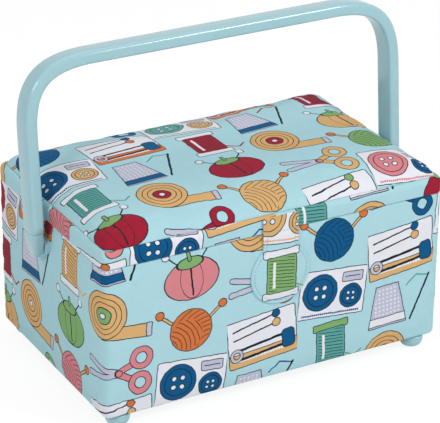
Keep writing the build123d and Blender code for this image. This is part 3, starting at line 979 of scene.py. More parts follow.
def skin(plan, profile, start=(0.0, 0.0), way=-1, lift=None, shares=None):
    """A closed skin that follows a profile of (inset, height) round a plan. The cloth begins at start and
    runs down the profile, or up it where way is 1. lift moves each ring by its share."""
    rows = []
    for (inset, z), share in zip(profile, shares or [0.0] * len(profile)):
        moved = (lambda number, z=z, share=share: lift(number, z) * share) if share else None
        rows.append(plan.ring(inset, z, lift=moved))
    run = run_along(profile)
    run.append(run[-1] + MM)
    patch = Patchwork()
    patch.add_rows(rows, lambda j, i: (plan.around[i] + start[0], start[1] + way * run[j]), close=True)
    return patch


class SEWING_BOX_OT_body_cover(bpy.types.Operator):
    """Printed cloth over the padded walls of the lower box"""

    bl_idname = "sewing_box.body_cover"
    bl_label = "Padded Walls"

    def execute(self, context):
        own = sizes()
        low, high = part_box("body_cover")
        plan = Plan(low, high, own.corner)
        edge, rim, rim_low, hem = own.lower_edge, 1.4 * MM, high.z - 3 * MM, 10 * MM
        outside = [(WALL, high.z - CLOTH), (WALL - 0.3 * MM, high.z)]
        outside += bend((rim, high.z - rim), rim, 90, 180, 4)
        outside += upright(rim_low, low.z + edge, 30)
        outside += bend((edge, low.z + edge), edge, 180, 270, 7) + [(hem, low.z)]
        deep = 3.2 * MM                # back of the wadding
        inside = [(hem, low.z + CLOTH), (edge + deep, low.z + CLOTH), (deep, low.z + edge + deep)]
        inside += [(deep, rim_low), (WALL, high.z - 2 * CLOTH)]
        shares = [float(inset < 2 * MM) for inset, _ in outside] + [0.0] * len(inside)
        lift = wall_lift(plan, low.z, high.z, own.wall_swell, 3.0)
        patch = skin(plan, outside + inside, (0.0, run_along(outside)[-1]), lift=lift, shares=shares)
        piece = patch.build("printed_walls", "printed_cotton")
        left, right, front, back = low.x + MM, high.x - MM, low.y + MM, high.y - MM

        def held(point):
            """Sewn at the rim, glued under the base, and still on the inside."""
            within = left < point.x < right and front < point.y < back
            return within or not low.z + 5 * MM < point.z < high.z - 4 * MM

        puff(piece, held, 0.9 * MM)
        finish_piece(piece, "box", "print_cloth", "body_cover", "wall_padding")
        return {"FINISHED"}


class SEWING_BOX_OT_lid_band(bpy.types.Operator):
    """Printed strip round the edge of the lid"""

    bl_idname = "sewing_box.lid_band"
    bl_label = "Lid Band"

    def execute(self, context):
        own = sizes()
        low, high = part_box("lid_band")
        plan = Plan(low, high, own.corner)
        lower, seam, top = 1.1 * MM, own.seam_inset, high.z + 0.3 * MM
        outside = [(WALL, low.z + CLOTH), (WALL - 0.3 * MM, low.z)]
        outside += bend((lower, low.z + lower), lower, 270, 180, 4)
        shoulder, turn = seam + MM, math.acos(1 / (seam / MM + 1))
        shoulder_low = top - shoulder * math.sin(turn)
        outside += upright(low.z + 2.4 * MM, shoulder_low, 5)
        outside += bend((shoulder, shoulder_low), shoulder, 180, 180 - math.degrees(turn), 8)
        tucked = [(seam + 0.5 * MM, top - 0.5 * MM), (seam + 3 * MM, top - 0.9 * MM)]
        inside = [(seam + 3 * MM, top - 0.9 * MM - CLOTH), (seam, top - 1.2 * MM)]
        inside += [(0.4 * seam, top - 2.4 * MM), (CLOTH, shoulder_low), (CLOTH, low.z + lower)]
        inside += [(lower, low.z + CLOTH), (WALL, low.z + 2 * CLOTH)]
        shares = [0.7 * (z > low.z + 2 * MM) for _, z in outside] + [0.0] * len(tucked + inside)
        lift = wall_lift(plan, low.z, high.z, 0.5 * MM, 8.0)
        patch = skin(plan, outside + tucked + inside, (21 * MM, 11 * MM), 1, lift, shares)
        piece = patch.build("lid_band_cloth", "printed_cotton")
        finish_piece(piece, "lid", "print_cloth", "lid_band", "rim_padding")
        return {"FINISHED"}


# ---------------------------------------------------------------- padded top
CROWN = (                              # millimetres inside the lid's edge, and share of the crown's height
    (4.2, 0.02), (4.5, 0.07), (5.4, 0.175), (6.5, 0.28), (8.0, 0.405), (10.0, 0.52),
    (14.0, 0.65), (20.0, 0.765), (30.0, 0.88), (45.0, 0.955), (70.0, 1.0),
)


def crown_share(distance):
    """Share of the crown's height at a distance inside the lid's edge: a smooth curve through CROWN."""
    distance = min(max(distance / MM, CROWN[0][0]), CROWN[-1][0])
    for number, (start, end) in enumerate(zip(CROWN, CROWN[1:])):
        if distance <= end[0]:
            break
    slopes = []
    for here in (number, number + 1):
        before, after = CROWN[max(here - 1, 0)], CROWN[min(here + 1, len(CROWN) - 1)]
        slopes.append((after[1] - before[1]) / (after[0] - before[0]) if here < len(CROWN) - 1 else 0.0)
    span = end[0] - start[0]
    t = (distance - start[0]) / span
    rise = start[1] * (1 + 2 * t) * (1 - t) ** 2 + end[1] * t * t * (3 - 2 * t)
    return rise + span * (slopes[0] * t * (1 - t) ** 2 + slopes[1] * t * t * (t - 1))


class Crown:
    """The padded top: outlines whose corners open towards the middle, and the height over them."""

    OPENING = 0.2                      # how much a corner's radius grows with its distance inside the edge

    def __init__(self, low, high, corner):
        self.plan = Plan(low, high, corner)
        self.low, self.height, self.corner = low.z, high.z - low.z, corner

    def level(self, distance):
        """Height at a distance inside the edge."""
        return self.low + self.height * crown_share(distance)

    def outline(self, inset, z, lift=None):
        """The outline drawn in by inset at a height."""
        return self.plan.ring(inset, z, self.corner + self.OPENING * inset, lift)

    def depth(self, point):
        """How far inside the edge a point lies."""
        half = self.plan.half
        flat = Vector((abs(point.x - self.plan.centre.x), abs(point.y - self.plan.centre.y)))
        near, far = 0.0, min(half) * 0.999
        for _ in range(24):
            inset = (near + far) / 2
            radius = min(self.corner + self.OPENING * inset, min(half) - inset)
            out = flat - half + Vector((inset + radius, inset + radius))
            beyond = Vector((max(out.x, 0.0), max(out.y, 0.0))).length + min(max(out.x, out.y), 0.0) - radius
            near, far = (inset, far) if beyond <= 0 else (near, inset)
        return near


class SEWING_BOX_OT_lid_cover(bpy.types.Operator):
    """Printed cloth over the padded, crowned top of the lid"""

    bl_idname = "sewing_box.lid_cover"
    bl_label = "Padded Top"

    PRINT_START = (37 * MM, 5 * MM)
    OUTLINES = (0.2, 0.4, 0.8, 1.4, 2, 2.8, 3.8, 5, 6.5, 8.5, 11, 14)       # millimetres inside the seam

    def execute(self, context):
        own = sizes()
        low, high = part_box("lid_cover")
        crown = Crown(low, high, own.corner)
        seam, under = own.seam_inset, low.z + 0.05 * MM
        tucked = [(seam + 4 * MM, under), (seam + 1.6 * MM, under), (seam + 0.7 * MM, under + 0.05 * MM)]
        rising = [(seam + inset * MM, crown.level(seam + inset * MM)) for inset in self.OUTLINES]
        profile = tucked + rising
        last = profile[-1][0]

        def pucker(number, inset):
            """Small gathers that run in from the seam."""
            gathers, along_gather, seed, depth = 70, 12, 4.1, 0.5 * MM
            run = crown.plan.samples[number][2]
            fade = smooth(inset, seam, seam + 3 * MM) * (1 - smooth(inset, seam + 6 * MM, last))
            return noise.noise(Vector((run * gathers, inset * along_gather, seed))) * depth * fade

        rings = [crown.outline(inset, z) for inset, z in tucked]
        rings += [crown.outline(inset, z, lambda n, inset=inset: pucker(n, inset)) for inset, z in rising]
        run = run_along(profile)
        count = len(rings[0])

        def mark(j, i):
            """The cloth follows the padded edge, so its place is further out than the point's own."""
            point, facing = rings[j][i % count], crown.plan.samples[i % count][1]
            out = run[-1] - last - (run[j] - profile[j][0])
            start = self.PRINT_START
            return point.x + facing.x * out + start[0], point.y + facing.y * out + start[1]

        patch = Patchwork()
        patch.add_rows(rings, mark)
        rows = crown.plan.spanned(rings[-1])
        dents, seed, dent_depth = 14, 1.7, 0.35 * MM
        for row in rows:
            for point in row:
                dent = noise.noise(Vector((point.x * dents, point.y * dents, seed))) * dent_depth
                inside = crown.depth(point)
                point.z = crown.level(inside) + dent * smooth(inside, last, 2 * last)
        for filled in (rows, crown.plan.spanned(rings[0])):
            patch.add_flat(filled, self.PRINT_START)
        piece = patch.build("printed_top", "printed_cotton")
        puff(piece, lambda point: point.z < low.z + 0.9 * MM, 1.6 * MM)
        finish_piece(piece, "lid", "print_cloth", "lid_cover", "lid_padding")
        return {"FINISHED"}


# ---------------------------------------------------------------- closing tab
class Keyhole:
    """Outline of the tab: a disc below a neck with hollow corners, in the plane of the front."""

    HOLLOW = 10 * MM                   # radius of the hollow corners between neck and disc
    CORNER = 2.6 * MM                  # radius of the neck's upper corners

    def __init__(self, radius, centre_z, half_neck, top_z):
        self.radius, self.centre_z, self.half_neck, self.top_z = radius, centre_z, half_neck, top_z
        side = half_neck + self.HOLLOW
        self.hollow_centre = Vector((side, centre_z + math.sqrt((radius + self.HOLLOW) ** 2 - side**2)))
        rise = self.hollow_centre - Vector((0, centre_z))
        self.join = math.atan2(rise.y, rise.x)

    def loop(self, inset, step=1.6 * MM):
        """Points round the outline drawn in by inset, anticlockwise from the top left."""
        neck, top = self.half_neck - inset, self.top_z - inset
        corner, hollow, radius = max(self.CORNER - inset, 0.0), self.HOLLOW + inset, self.radius - inset

        def arc(x, z, size, start, turn, steps, count):
            """The first points of an arc that is cut into steps."""
            angles = [start + turn * i / steps for i in range(count)]
            return [Vector((x + size * math.cos(angle), z + size * math.sin(angle))) for angle in angles]

        points = arc(corner - neck, top - corner, corner, math.pi / 2, math.pi / 2, 5, 5)
        neck_top, neck_low = top - corner, self.hollow_centre.y
        count = max(2, round((self.top_z - self.CORNER - neck_low) / step))
        points += [Vector((-neck, neck_top + (neck_low - neck_top) * i / count)) for i in range(count)]
        points += arc(-self.hollow_centre.x, self.hollow_centre.y, hollow, 0.0, -self.join, 8, 8)
        start, turn = math.pi - self.join, math.pi + 2 * self.join
        count = round(turn * self.radius / step)
        count += count % 2
        points += arc(0.0, self.centre_z, radius, start, turn, count, count // 2)
        lowest = Vector((0.0, self.centre_z - radius))
        mirrored = [Vector((-point.x, point.y)) for point in points[::-1]]
        return points + [lowest] + mirrored

    def depth(self, point):
        """Distance of a point inside the outline."""
        x, z = abs(point.x), point.y
        if z > self.hollow_centre.y:
            return min(self.half_neck - x, self.top_z - z)
        if math.atan2(z - self.centre_z, x) > self.join:
            return math.hypot(x - self.hollow_centre.x, z - self.hollow_centre.y) - self.HOLLOW
        return self.radius - math.hypot(x, z - self.centre_z)


class TabForm:
    """Outline, thickness and relief of the closing tab."""

    ROUND = 2.4                        # width of its rounded edge, in millimetres
    EDGE_STEPS = (0.15, 0.5, 1.1, 1.9)  # outlines over that edge, in millimetres

    def __init__(self):
        face_low, face_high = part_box("tab_face")
        anchor_low, anchor_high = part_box("tab_anchor")
        self.radius = (face_high.x - face_low.x) / 2
        self.low = face_low.z
        self.row = sizes().tab_stitch
        _, self.hinge_y, self.hinge_z = joint_place("tab_flap")
        self.outline = Keyhole(
            self.radius - 0.8 * MM, self.low + self.radius, anchor_high.x, anchor_high.z + 1.2 * MM
        )
        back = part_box("tab_back")[1].y
        self.back, self.thick = -back, back - face_low.y
        self.thin = anchor_high.y - anchor_low.y + 0.5 * MM

    def place(self, flat, share):
        """A point of the outline's plane, stood in front of the box at a share of the thickness."""
        neck = smooth(flat.y, self.hinge_z - 3 * MM, self.hinge_z + 5 * MM)
        thickness = self.thick + (self.thin - self.thick) * neck
        return Vector((flat.x, -(self.back + thickness * share), flat.y))

    def relief(self, inside):
        """Share of the thickness at a distance inside the edge of the front."""
        round_edge = math.sqrt(max(1 - (1 - min(inside / (self.ROUND * MM), 1.0)) ** 2, 0.0))
        dent = 0.26 * math.exp(-(((inside - self.row) / (0.7 * MM)) ** 2))
        swell = 0.56 * smooth(inside, self.row - MM, self.row + 8 * MM)
        return 0.5 + 0.5 * round_edge * (0.44 - dent + swell)

    def rings(self):
        """The outline from the back, round the edge, to the front."""
        levels = [(inset, 0.5 * (1 - math.sqrt(1 - (1 - inset / self.ROUND) ** 2)))
                  for inset in reversed(self.EDGE_STEPS)]
        levels += [(0.0, 0.5)] + [(inset, self.relief(inset * MM)) for inset in self.EDGE_STEPS]
        return [
            [self.place(flat, share) for flat in self.outline.loop(inset * MM)] for inset, share in levels
        ]

    def inside_points(self):
        """Points over the tab's face: along the stitched row, close over the hinge, and in an even grid."""
        outline, row, points = self.outline, self.row, []
        for inset in (row - 0.5 * MM, row, row + 0.5 * MM, row + 1.2 * MM):
            loop = outline.loop(inset)
            points += [p for p, q in zip(loop, loop[1:] + loop[:1]) if (p - q).length > 0.3 * MM]
        step = 2.4 * MM
        count = round(outline.radius / step)
        z = outline.centre_z - outline.radius
        while z < outline.top_z:
            across = [Vector((i * step, z)) for i in range(-count, count + 1)]
            points += [point for point in across if outline.depth(point) > row + 2 * MM]
            z += 1.1 * MM if abs(z - self.hinge_z) < 6 * MM else step
        return points


class SEWING_BOX_OT_tab(bpy.types.Operator):
    """Padded keyhole tab that closes the lid, sewn to the lid's band and held by a magnet"""

    bl_idname = "sewing_box.tab"
    bl_label = "Closing Tab"

    PRINT_MIDDLE = (435.5 * MM, 175 * MM)

    def execute(self, context):
        form = TabForm()
        shift = Vector((self.PRINT_MIDDLE[0], self.PRINT_MIDDLE[1] - form.low - form.radius))
        rings = form.rings()
        count, rim_inset = len(rings[0]), form.EDGE_STEPS[-1] * MM

        def mark(j, i):
            point = rings[j][i % count]
            return point.x + shift.x, point.z + shift.y

        patch = Patchwork()
        patch.add_rows(rings, mark)
        behind = (len(form.EDGE_STEPS) - 1) * count
        patch.slots[:behind] = [2] * behind
        rim = form.outline.loop(rim_inset)
        flat = geometry.delaunay_2d_cdt(rim + form.inside_points(), [], [list(range(len(rim)))], 1, 1e-7)
        points, faces = flat[0], flat[2]
        relief = [form.relief(max(form.outline.depth(point), rim_inset)) for point in points]
        front = patch.add_points(form.place(point, share) for point, share in zip(points, relief))
        back = patch.add_points(form.place(point, 0.0) for point in points)
        for face in faces:
            marks = [(points[n].x + shift.x, points[n].y + shift.y) for n in face]
            patch.add_face([front + n for n in face], marks)
            patch.add_face([back + n for n in face][::-1], marks[::-1], 2)
        self.sew(patch, form)
        piece = patch.build("keyhole_tab", "printed_cotton", "sewing_thread", "plain_cotton")
        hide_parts("tab_face", "tab_back", "tab_anchor", "tab_stiffener")
        y, z, reach = form.hinge_y, form.hinge_z, 2.8 * MM
        z + reach
        z - reach
        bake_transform(piece)
        return {"FINISHED"}

    def sew(self, patch, form):
        """The row of stitches round the tab and the short row that holds it to the lid."""
        raised, facing = Vector((0, -0.08 * MM, 0)), Vector((0, -1, 0))
        side, low = form.outline.half_neck - form.row, form.hinge_z + 1.6 * MM
        across = [Vector((-side + 2 * side * i / 12, low)) for i in range(13)]
        for flat, closed in ((form.outline.loop(form.row), True), (across, False)):
            path = [form.place(point, form.relief(form.outline.depth(point))) + raised for point in flat]
            stitch_row(patch, path, lambda _: facing, closed)


# ---------------------------------------------------------------- hinge tape
class SEWING_BOX_OT_hinge_tape(bpy.types.Operator):
    """Cloth tape that hinges the lid along the back"""

    bl_idname = "sewing_box.hinge_tape"
    bl_label = "Hinge Tape"

    def execute(self, context):
        low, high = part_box("hinge_tape_body")
        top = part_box("hinge_tape_lid")[1].z
        _, hinge_y, hinge_z = joint_place("lid_open")
        thickness, rows_up, columns = 0.5 * MM, 28, 60
        width, height = high.x - low.x, top - low.z
        start = low.y + 0.75 * MM      # clear of the padded walls

        def face(y):
            """Rows of points of one face, dented along the hinge."""
            rows = []
            for j in range(rows_up + 1):
                z = low.z + height * j / rows_up
                dip = 0.5 * MM * math.exp(-(((z - hinge_z) / (2 * MM)) ** 2))
                rows.append([Vector((low.x + width * i / columns, y - dip, z)) for i in range(columns + 1)])
            return rows

        patch = Patchwork()
        patch.add_sheet([face(start + thickness), face(start)], width, height)
        hem, apart = 2.2 * MM, 4 * MM
        left, length_sewn = low.x + hem, width - 2 * hem
        for z in (low.z + hem, hinge_z - apart, hinge_z + apart, top - hem):
            path = [Vector((left + length_sewn * i / 80, start + thickness, z)) for i in range(81)]
            stitch_row(patch, path, lambda _: Vector((0, 1, 0)))
        piece = patch.build("hinge_cloth", "plain_cotton", "sewing_thread")
        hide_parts("hinge_tape_body", "hinge_tape_lid")
        reach = 2.5 * MM
        hinge_z - reach
        hinge_z + reach
        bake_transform(piece)
        return {"FINISHED"}


# ---------------------------------------------------------------- handle
class Bail:
    """The handle's middle line and the directions across it."""

    def __init__(self):
        own = sizes()
        self.pivot = Vector(joint_place("handle_fold"))
        self.up = Vector((0, math.sin(own.handle_lean), math.cos(own.handle_lean)))
        self.front = Vector((0, -math.cos(own.handle_lean), math.sin(own.handle_lean)))
        self.half_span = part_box("handle_bail")[1].x - own.handle_thickness / 2

    def at(self, x, rise):
        """A point of the handle's plane."""
        return Vector((x, 0, 0)) + self.pivot + self.up * rise

    def line(self, leg_steps=18, corner_steps=28):
        """Points and outward directions along the handle, from the left leg's end to the right one's."""
        own = sizes()
        span, arm, fullness = self.half_span, own.handle_arm, own.handle_fullness
        start = arm - own.handle_corner_height
        bar = span - own.handle_corner_length
        side = []
        for i in range(leg_steps):
            rise = own.leg_end + (start - own.leg_end) * i / leg_steps
            side.append((Vector((-span, rise)), Vector((-1, 0))))
        a, b = Vector((-span, start)), Vector((-span, start + fullness * own.handle_corner_height))
        c, d = Vector((-bar - fullness * own.handle_corner_length, arm)), Vector((-bar, arm))
        for i in range(corner_steps + 1):
            t = i / corner_steps
            s = 1 - t
            point = a * s**3 + b * (3 * s * s * t) + c * (3 * s * t * t) + d * t**3
            slope = ((b - a) * (s * s) + (c - b) * (2 * s * t) + (d - c) * (t * t)).normalized()
            side.append((point, Vector((-slope.y, slope.x))))
        other = [(Vector((-point.x, point.y)), Vector((-out.x, out.y))) for point, out in side[::-1]]
        return side + other


def handle_section(thickness, width, outer, inner, steps=5):
    """Section of the handle: rounder edges outside than inside. Pairs of outward and forward distance."""
    half_t, half_w = thickness / 2, width / 2
    points = []
    for sign_t, sign_w, radius, start in (
        (1, 1, outer, 0), (-1, 1, inner, 90), (-1, -1, inner, 180), (1, -1, outer, 270),
    ):
        centre = Vector((sign_t * (half_t - radius), sign_w * (half_w - radius)))
        for i in range(steps + 1):
            angle = math.radians(start + 90 * i / steps)
            points.append(centre + radius * Vector((math.cos(angle), math.sin(angle))))
    return points


class SEWING_BOX_OT_handle(bpy.types.Operator):
    """Moulded bail handle with its leg ends"""

    bl_idname = "sewing_box.handle"
    bl_label = "Handle"

    def execute(self, context):
        own = sizes()
        bail = Bail()
        section = handle_section(own.handle_thickness, own.handle_width, 3.9 * MM, 2.2 * MM)
        line = bail.line()
        rows = []
        for number, (point, out) in enumerate(line):
            centre = bail.at(point.x, point.y)
            outward = Vector((out.x, 0, 0)) + bail.up * out.y
            shrink = 0.97 if number in (0, len(line) - 1) else 1.0
            rows.append([centre + (outward * s.x + bail.front * s.y) * shrink for s in section])
        for row, place in ((rows[0], 0), (rows[-1], len(rows) + 1)):
            centre = sum(row, Vector()) / len(row)
            closed = [centre + (point - centre) * 0.88 - bail.up * 0.5 * MM for point in row]
            rows.insert(place, closed)
        patch = Patchwork()
        patch.add_tube(rows)
        piece = patch.build("bail_handle", "aqua_plastic")
        finish_piece(piece, "handle", "aqua_plastic", "handle_bail")
        for side, name in ((-1, "left"), (1, "right")):
            self.boot(bail, side, name)
        return {"FINISHED"}

    def boot(self, bail, side, name):
        """Tapered end of a leg, with the boss that turns on the box's side."""
        own = sizes()
        thickness, width = own.handle_thickness - MM, own.handle_width - MM
        tip_thickness, tip_width = 5.2 * MM, 8.5 * MM
        top, collar, tip, steps = own.leg_end - 0.3 * MM, 7 * MM, -8 * MM, 12
        # height above the pivot, share of the taper, share of the section
        levels = [(top, 0.0, 0.94), (top - 0.4 * MM, 0.0, 0.99)]
        levels += [(top - 1.2 * MM, 0.0, 1.0), (collar + MM, 0.0, 1.0)]
        for i in range(steps + 1):
            share = i / steps
            closing = math.sqrt(max(1 - (max(share - 0.82, 0.0) / 0.18) ** 2, 0.0)) * 0.55 + 0.45
            levels.append((collar + (tip - collar) * share, share**1.35, closing))
        rows = []
        for rise, taper, closing in levels:
            t = (thickness + (tip_thickness - thickness) * taper) * closing
            w = (width + (tip_width - width) * taper) * closing
            section = handle_section(t, w, min(3.2 * MM, 0.42 * t), min(2.4 * MM, 0.42 * t))
            centre = bail.at(side * bail.half_span, rise)
            rows.append([centre + Vector((side * s.x, 0, 0)) + bail.front * s.y for s in section])
        patch = Patchwork()
        patch.add_tube(rows)
        boss_low, boss_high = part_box(f"handle_boot_{name}")
        inner_x = boss_low.x if side > 0 else boss_high.x
        radius, chamfer = 6.4 * MM, 0.5 * MM
        rings = []
        for x, r in ((side * bail.half_span, radius), (inner_x + side * chamfer, radius),
                     (inner_x, radius - chamfer)):
            rings.append([Vector((x, r * y + bail.pivot.y, r * z + bail.pivot.z)) for y, z in circle(40)])
        patch.add_tube(rings)
        piece = patch.build(f"handle_end_{name}", "aqua_plastic")
        finish_piece(piece, "handle", "aqua_plastic", f"handle_boot_{name}")


# ---------------------------------------------------------------- feet
class SEWING_BOX_OT_feet(bpy.types.Operator):
    """Four domed feet"""

    bl_idname = "sewing_box.feet"
    bl_label = "Ball Feet"

    def execute(self, context):
        for name in ("front_left", "front_right", "back_left", "back_right"):
            low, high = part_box(f"foot_{name}")
            centre = (low + high) / 2
            patch = Patchwork()
            patch.add_tube([
                [Vector((centre.x + r * x, centre.y + r * y, low.z + z)) for x, y in circle(64)]
                for r, z in self.profile((high.x - low.x) / 2, high.z - low.z)
            ])
            piece = patch.build(f"dome_foot_{name}", "aqua_plastic")
            finish_piece(piece, "box", "aqua_plastic", f"foot_{name}")
        return {"FINISHED"}

    def profile(self, radius, height, steps=14):
        """Half section: the recess of the screw, a small flat, the dome and a short flank."""
        hole, sink, flat, widest, edge = 3.4 * MM, 4.4 * MM, 4.6 * MM, 0.66 * height, 0.4 * MM
        points = [(edge, sink), (hole, sink), (hole, edge), (hole + edge, 0.0), (flat, 0.0)]
        for i in range(1, steps):
            angle = math.pi / 2 * i / steps
            points.append((
                flat + (radius - flat) * math.sin(angle) ** 0.9,
                widest * (1 - math.cos(angle) ** 0.95),
            ))
        return points + [(radius, widest), (radius - 0.15 * MM, 0.85 * height), (radius - edge, height)]


# ---------------------------------------------------------------- what the frame already shapes
class SEWING_BOX_OT_fittings(bpy.types.Operator):
    """Boards, ledges, tray, pivots and magnets, which keep the frame's shape and get their finish"""

    bl_idname = "sewing_box.fittings"
    bl_label = "Boards and Fittings"

    FINISHES = (                       # finish, width of the softened edges in millimetres, nodes
        ("grey_board", 0.0, ("base_board", "front_board", "back_board", "left_board", "right_board",
                             "lid_rim_front", "lid_rim_back", "lid_rim_left", "lid_rim_right")),
        ("grey_board", 1.5, ("lid_board",)),
        ("ledge_wood", 0.5, ("tray_ledge_left", "tray_ledge_right")),
        ("tray_plastic", 0.45, ("organiser_tray",)),
        ("bright_steel", 0.2, ("pivot_stud_left", "pivot_stud_right", "stud_clip_left", "stud_clip_right",
                               "foot_screws", "magnet_plate")),
        ("dark_magnet", 0.2, ("tab_magnet",)),
        ("aqua_plastic", 0.4, ("pivot_bush_left", "pivot_bush_right")),
    )

    def execute(self, context):
        for finish, edge, names in self.FINISHES:
            for name in names:
                self.dress(name, finished(finish), edge * MM)
        return {"FINISHED"}

    def dress(self, name, material, edge):
        """Gives a node its material and softens its edges."""
        node = frame["nodes"][name]
        node.data.materials.clear()
        node.data.materials.append(material)
        if edge:
            weld = node.modifiers.new("Weld", "WELD")
            weld.merge_threshold = 0.01 * MM
            bevel = node.modifiers.new("Soft Edge", "BEVEL")
            bevel.width, bevel.segments, bevel.limit_method = edge, 2, "ANGLE"
            bevel.angle_limit = math.radians(35)


# ---------------------------------------------------------------- linings
class SEWING_BOX_OT_linings(bpy.types.Operator):
    """Cloth linings of the box and of the lid, with their rows of stitches, and the cover under the base"""

    bl_idname = "sewing_box.linings"
    bl_label = "Linings"

    SKIN = 0.75 * MM                   # thickness of the lining and its card
    EDGE = 0.5 * MM                    # radius of its folded edge
    CORNER = 3 * MM
    PAD_LEVELS = (                     # inset in millimetres, share of the height, cloth run in millimetres
        (0.6, 0.0, 0.0), (0.1, 0.25, 0.5), (0.1, 0.55, 1.0), (0.7, 0.85, 1.8), (1.8, 0.97, 3.0),
    )

    def execute(self, context):
        self.wall()
        self.pad("floor_lining_cloth", "base_lining", "box", *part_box("base_lining"), 1)
        low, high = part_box("base_cover")
        self.pad("under_cover_cloth", "base_cover", "box", low, high, -1, "plain_cotton", "plain_cloth")
        self.lid()
        return {"FINISHED"}

    def wall(self):
        low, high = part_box("wall_lining")
        skin, edge = self.SKIN, self.EDGE
        profile = [(0.0, low.z), (0.0, high.z - edge), (0.15 * MM, high.z)]
        profile += [(skin, high.z + 0.1 * MM), (skin + 0.35 * MM, high.z - edge)]
        profile += upright(high.z - 2 * MM, low.z, 24, skin) + [(skin, low.z)]
        boards = ["front_board", "back_board", "left_board", "right_board"]
        self.side("wall_lining_cloth", "wall_lining", "box", profile, high.z - 4 * MM, boards)

    def lid(self):
        low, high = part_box("lid_lining")
        pad_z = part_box("lid_pocket")[1].z
        skin, edge = self.SKIN, self.EDGE
        profile = [(skin, high.z), (0.0, high.z), (0.0, low.z + edge), (0.15 * MM, low.z)]
        profile += [(skin, low.z - 0.1 * MM), (skin + 0.3 * MM, low.z + edge), (skin, low.z + 2 * MM)]
        profile += [(skin, pad_z - 0.5 * MM), (skin + 0.2 * MM, pad_z + 0.3 * MM)]
        rims = ["lid_rim_front", "lid_rim_back", "lid_rim_left", "lid_rim_right"]
        self.side("lid_side_lining", "lid_lining", "lid", profile, low.z + 4 * MM, rims)
        inside = Vector((skin + 0.1 * MM, skin + 0.1 * MM, 0))
        pad_low = Vector((low.x, low.y, pad_z)) + inside
        self.pad("lid_lining_pad", "lid_lining", "lid", pad_low, high - inside, -1)

    def side(self, name, node, body, profile, row_z, boards):
        """The upright part of a lining, glued to boards, with one row of stitches. boards is not used."""
        low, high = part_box(node)
        plan = Plan(low, high, self.CORNER, corner_steps=6)

        def facing(point):
            """Towards the room, square to the nearer wall."""
            off = Vector((point.x - plan.centre.x, point.y - plan.centre.y))
            if plan.half.x - abs(off.x) < plan.half.y - abs(off.y):
                return Vector((-math.copysign(1, off.x), 0, 0))
            return Vector((0, -math.copysign(1, off.y), 0))

        patch = skin(plan, profile)
        stitch_row(patch, plan.ring(self.SKIN + 0.1 * MM, row_z), facing, closed=True)
        piece = patch.build(name, "lining_cotton", "sewing_thread")
        finish_piece(piece, body, "lining_cloth", node)
        flat = (girth(plan.ring(self.SKIN / 2, low.z)), high.z - low.z)

    def pad(self, name, node, body, low, high, way, finish="lining_cotton", slot="lining_cloth"):
        """A card covered with cloth over thin wadding, crowned a little towards way."""
        plan = Plan(low, high, 2.5 * MM, corner_steps=6)
        near, far = (low.z, high.z) if way > 0 else (high.z, low.z)
        rise = far - near
        rings = [plan.ring(inset * MM, near + rise * share) for inset, share, _ in self.PAD_LEVELS]
        patch = Patchwork()
        patch.add_rows(rings, lambda j, i: (plan.around[i], self.PAD_LEVELS[j][2] * MM))
        patch.add_flat(plan.spanned(rings[0]))
        rows = plan.spanned(rings[-1])
        for row in rows[1:-1]:
            for point in row[1:-1]:
                point.z += rise * 0.03 + noise.noise(point * 20) * 0.15 * MM
        patch.add_flat(rows)
        piece = patch.build(name, finish)
        finish_piece(piece, body, slot, node)


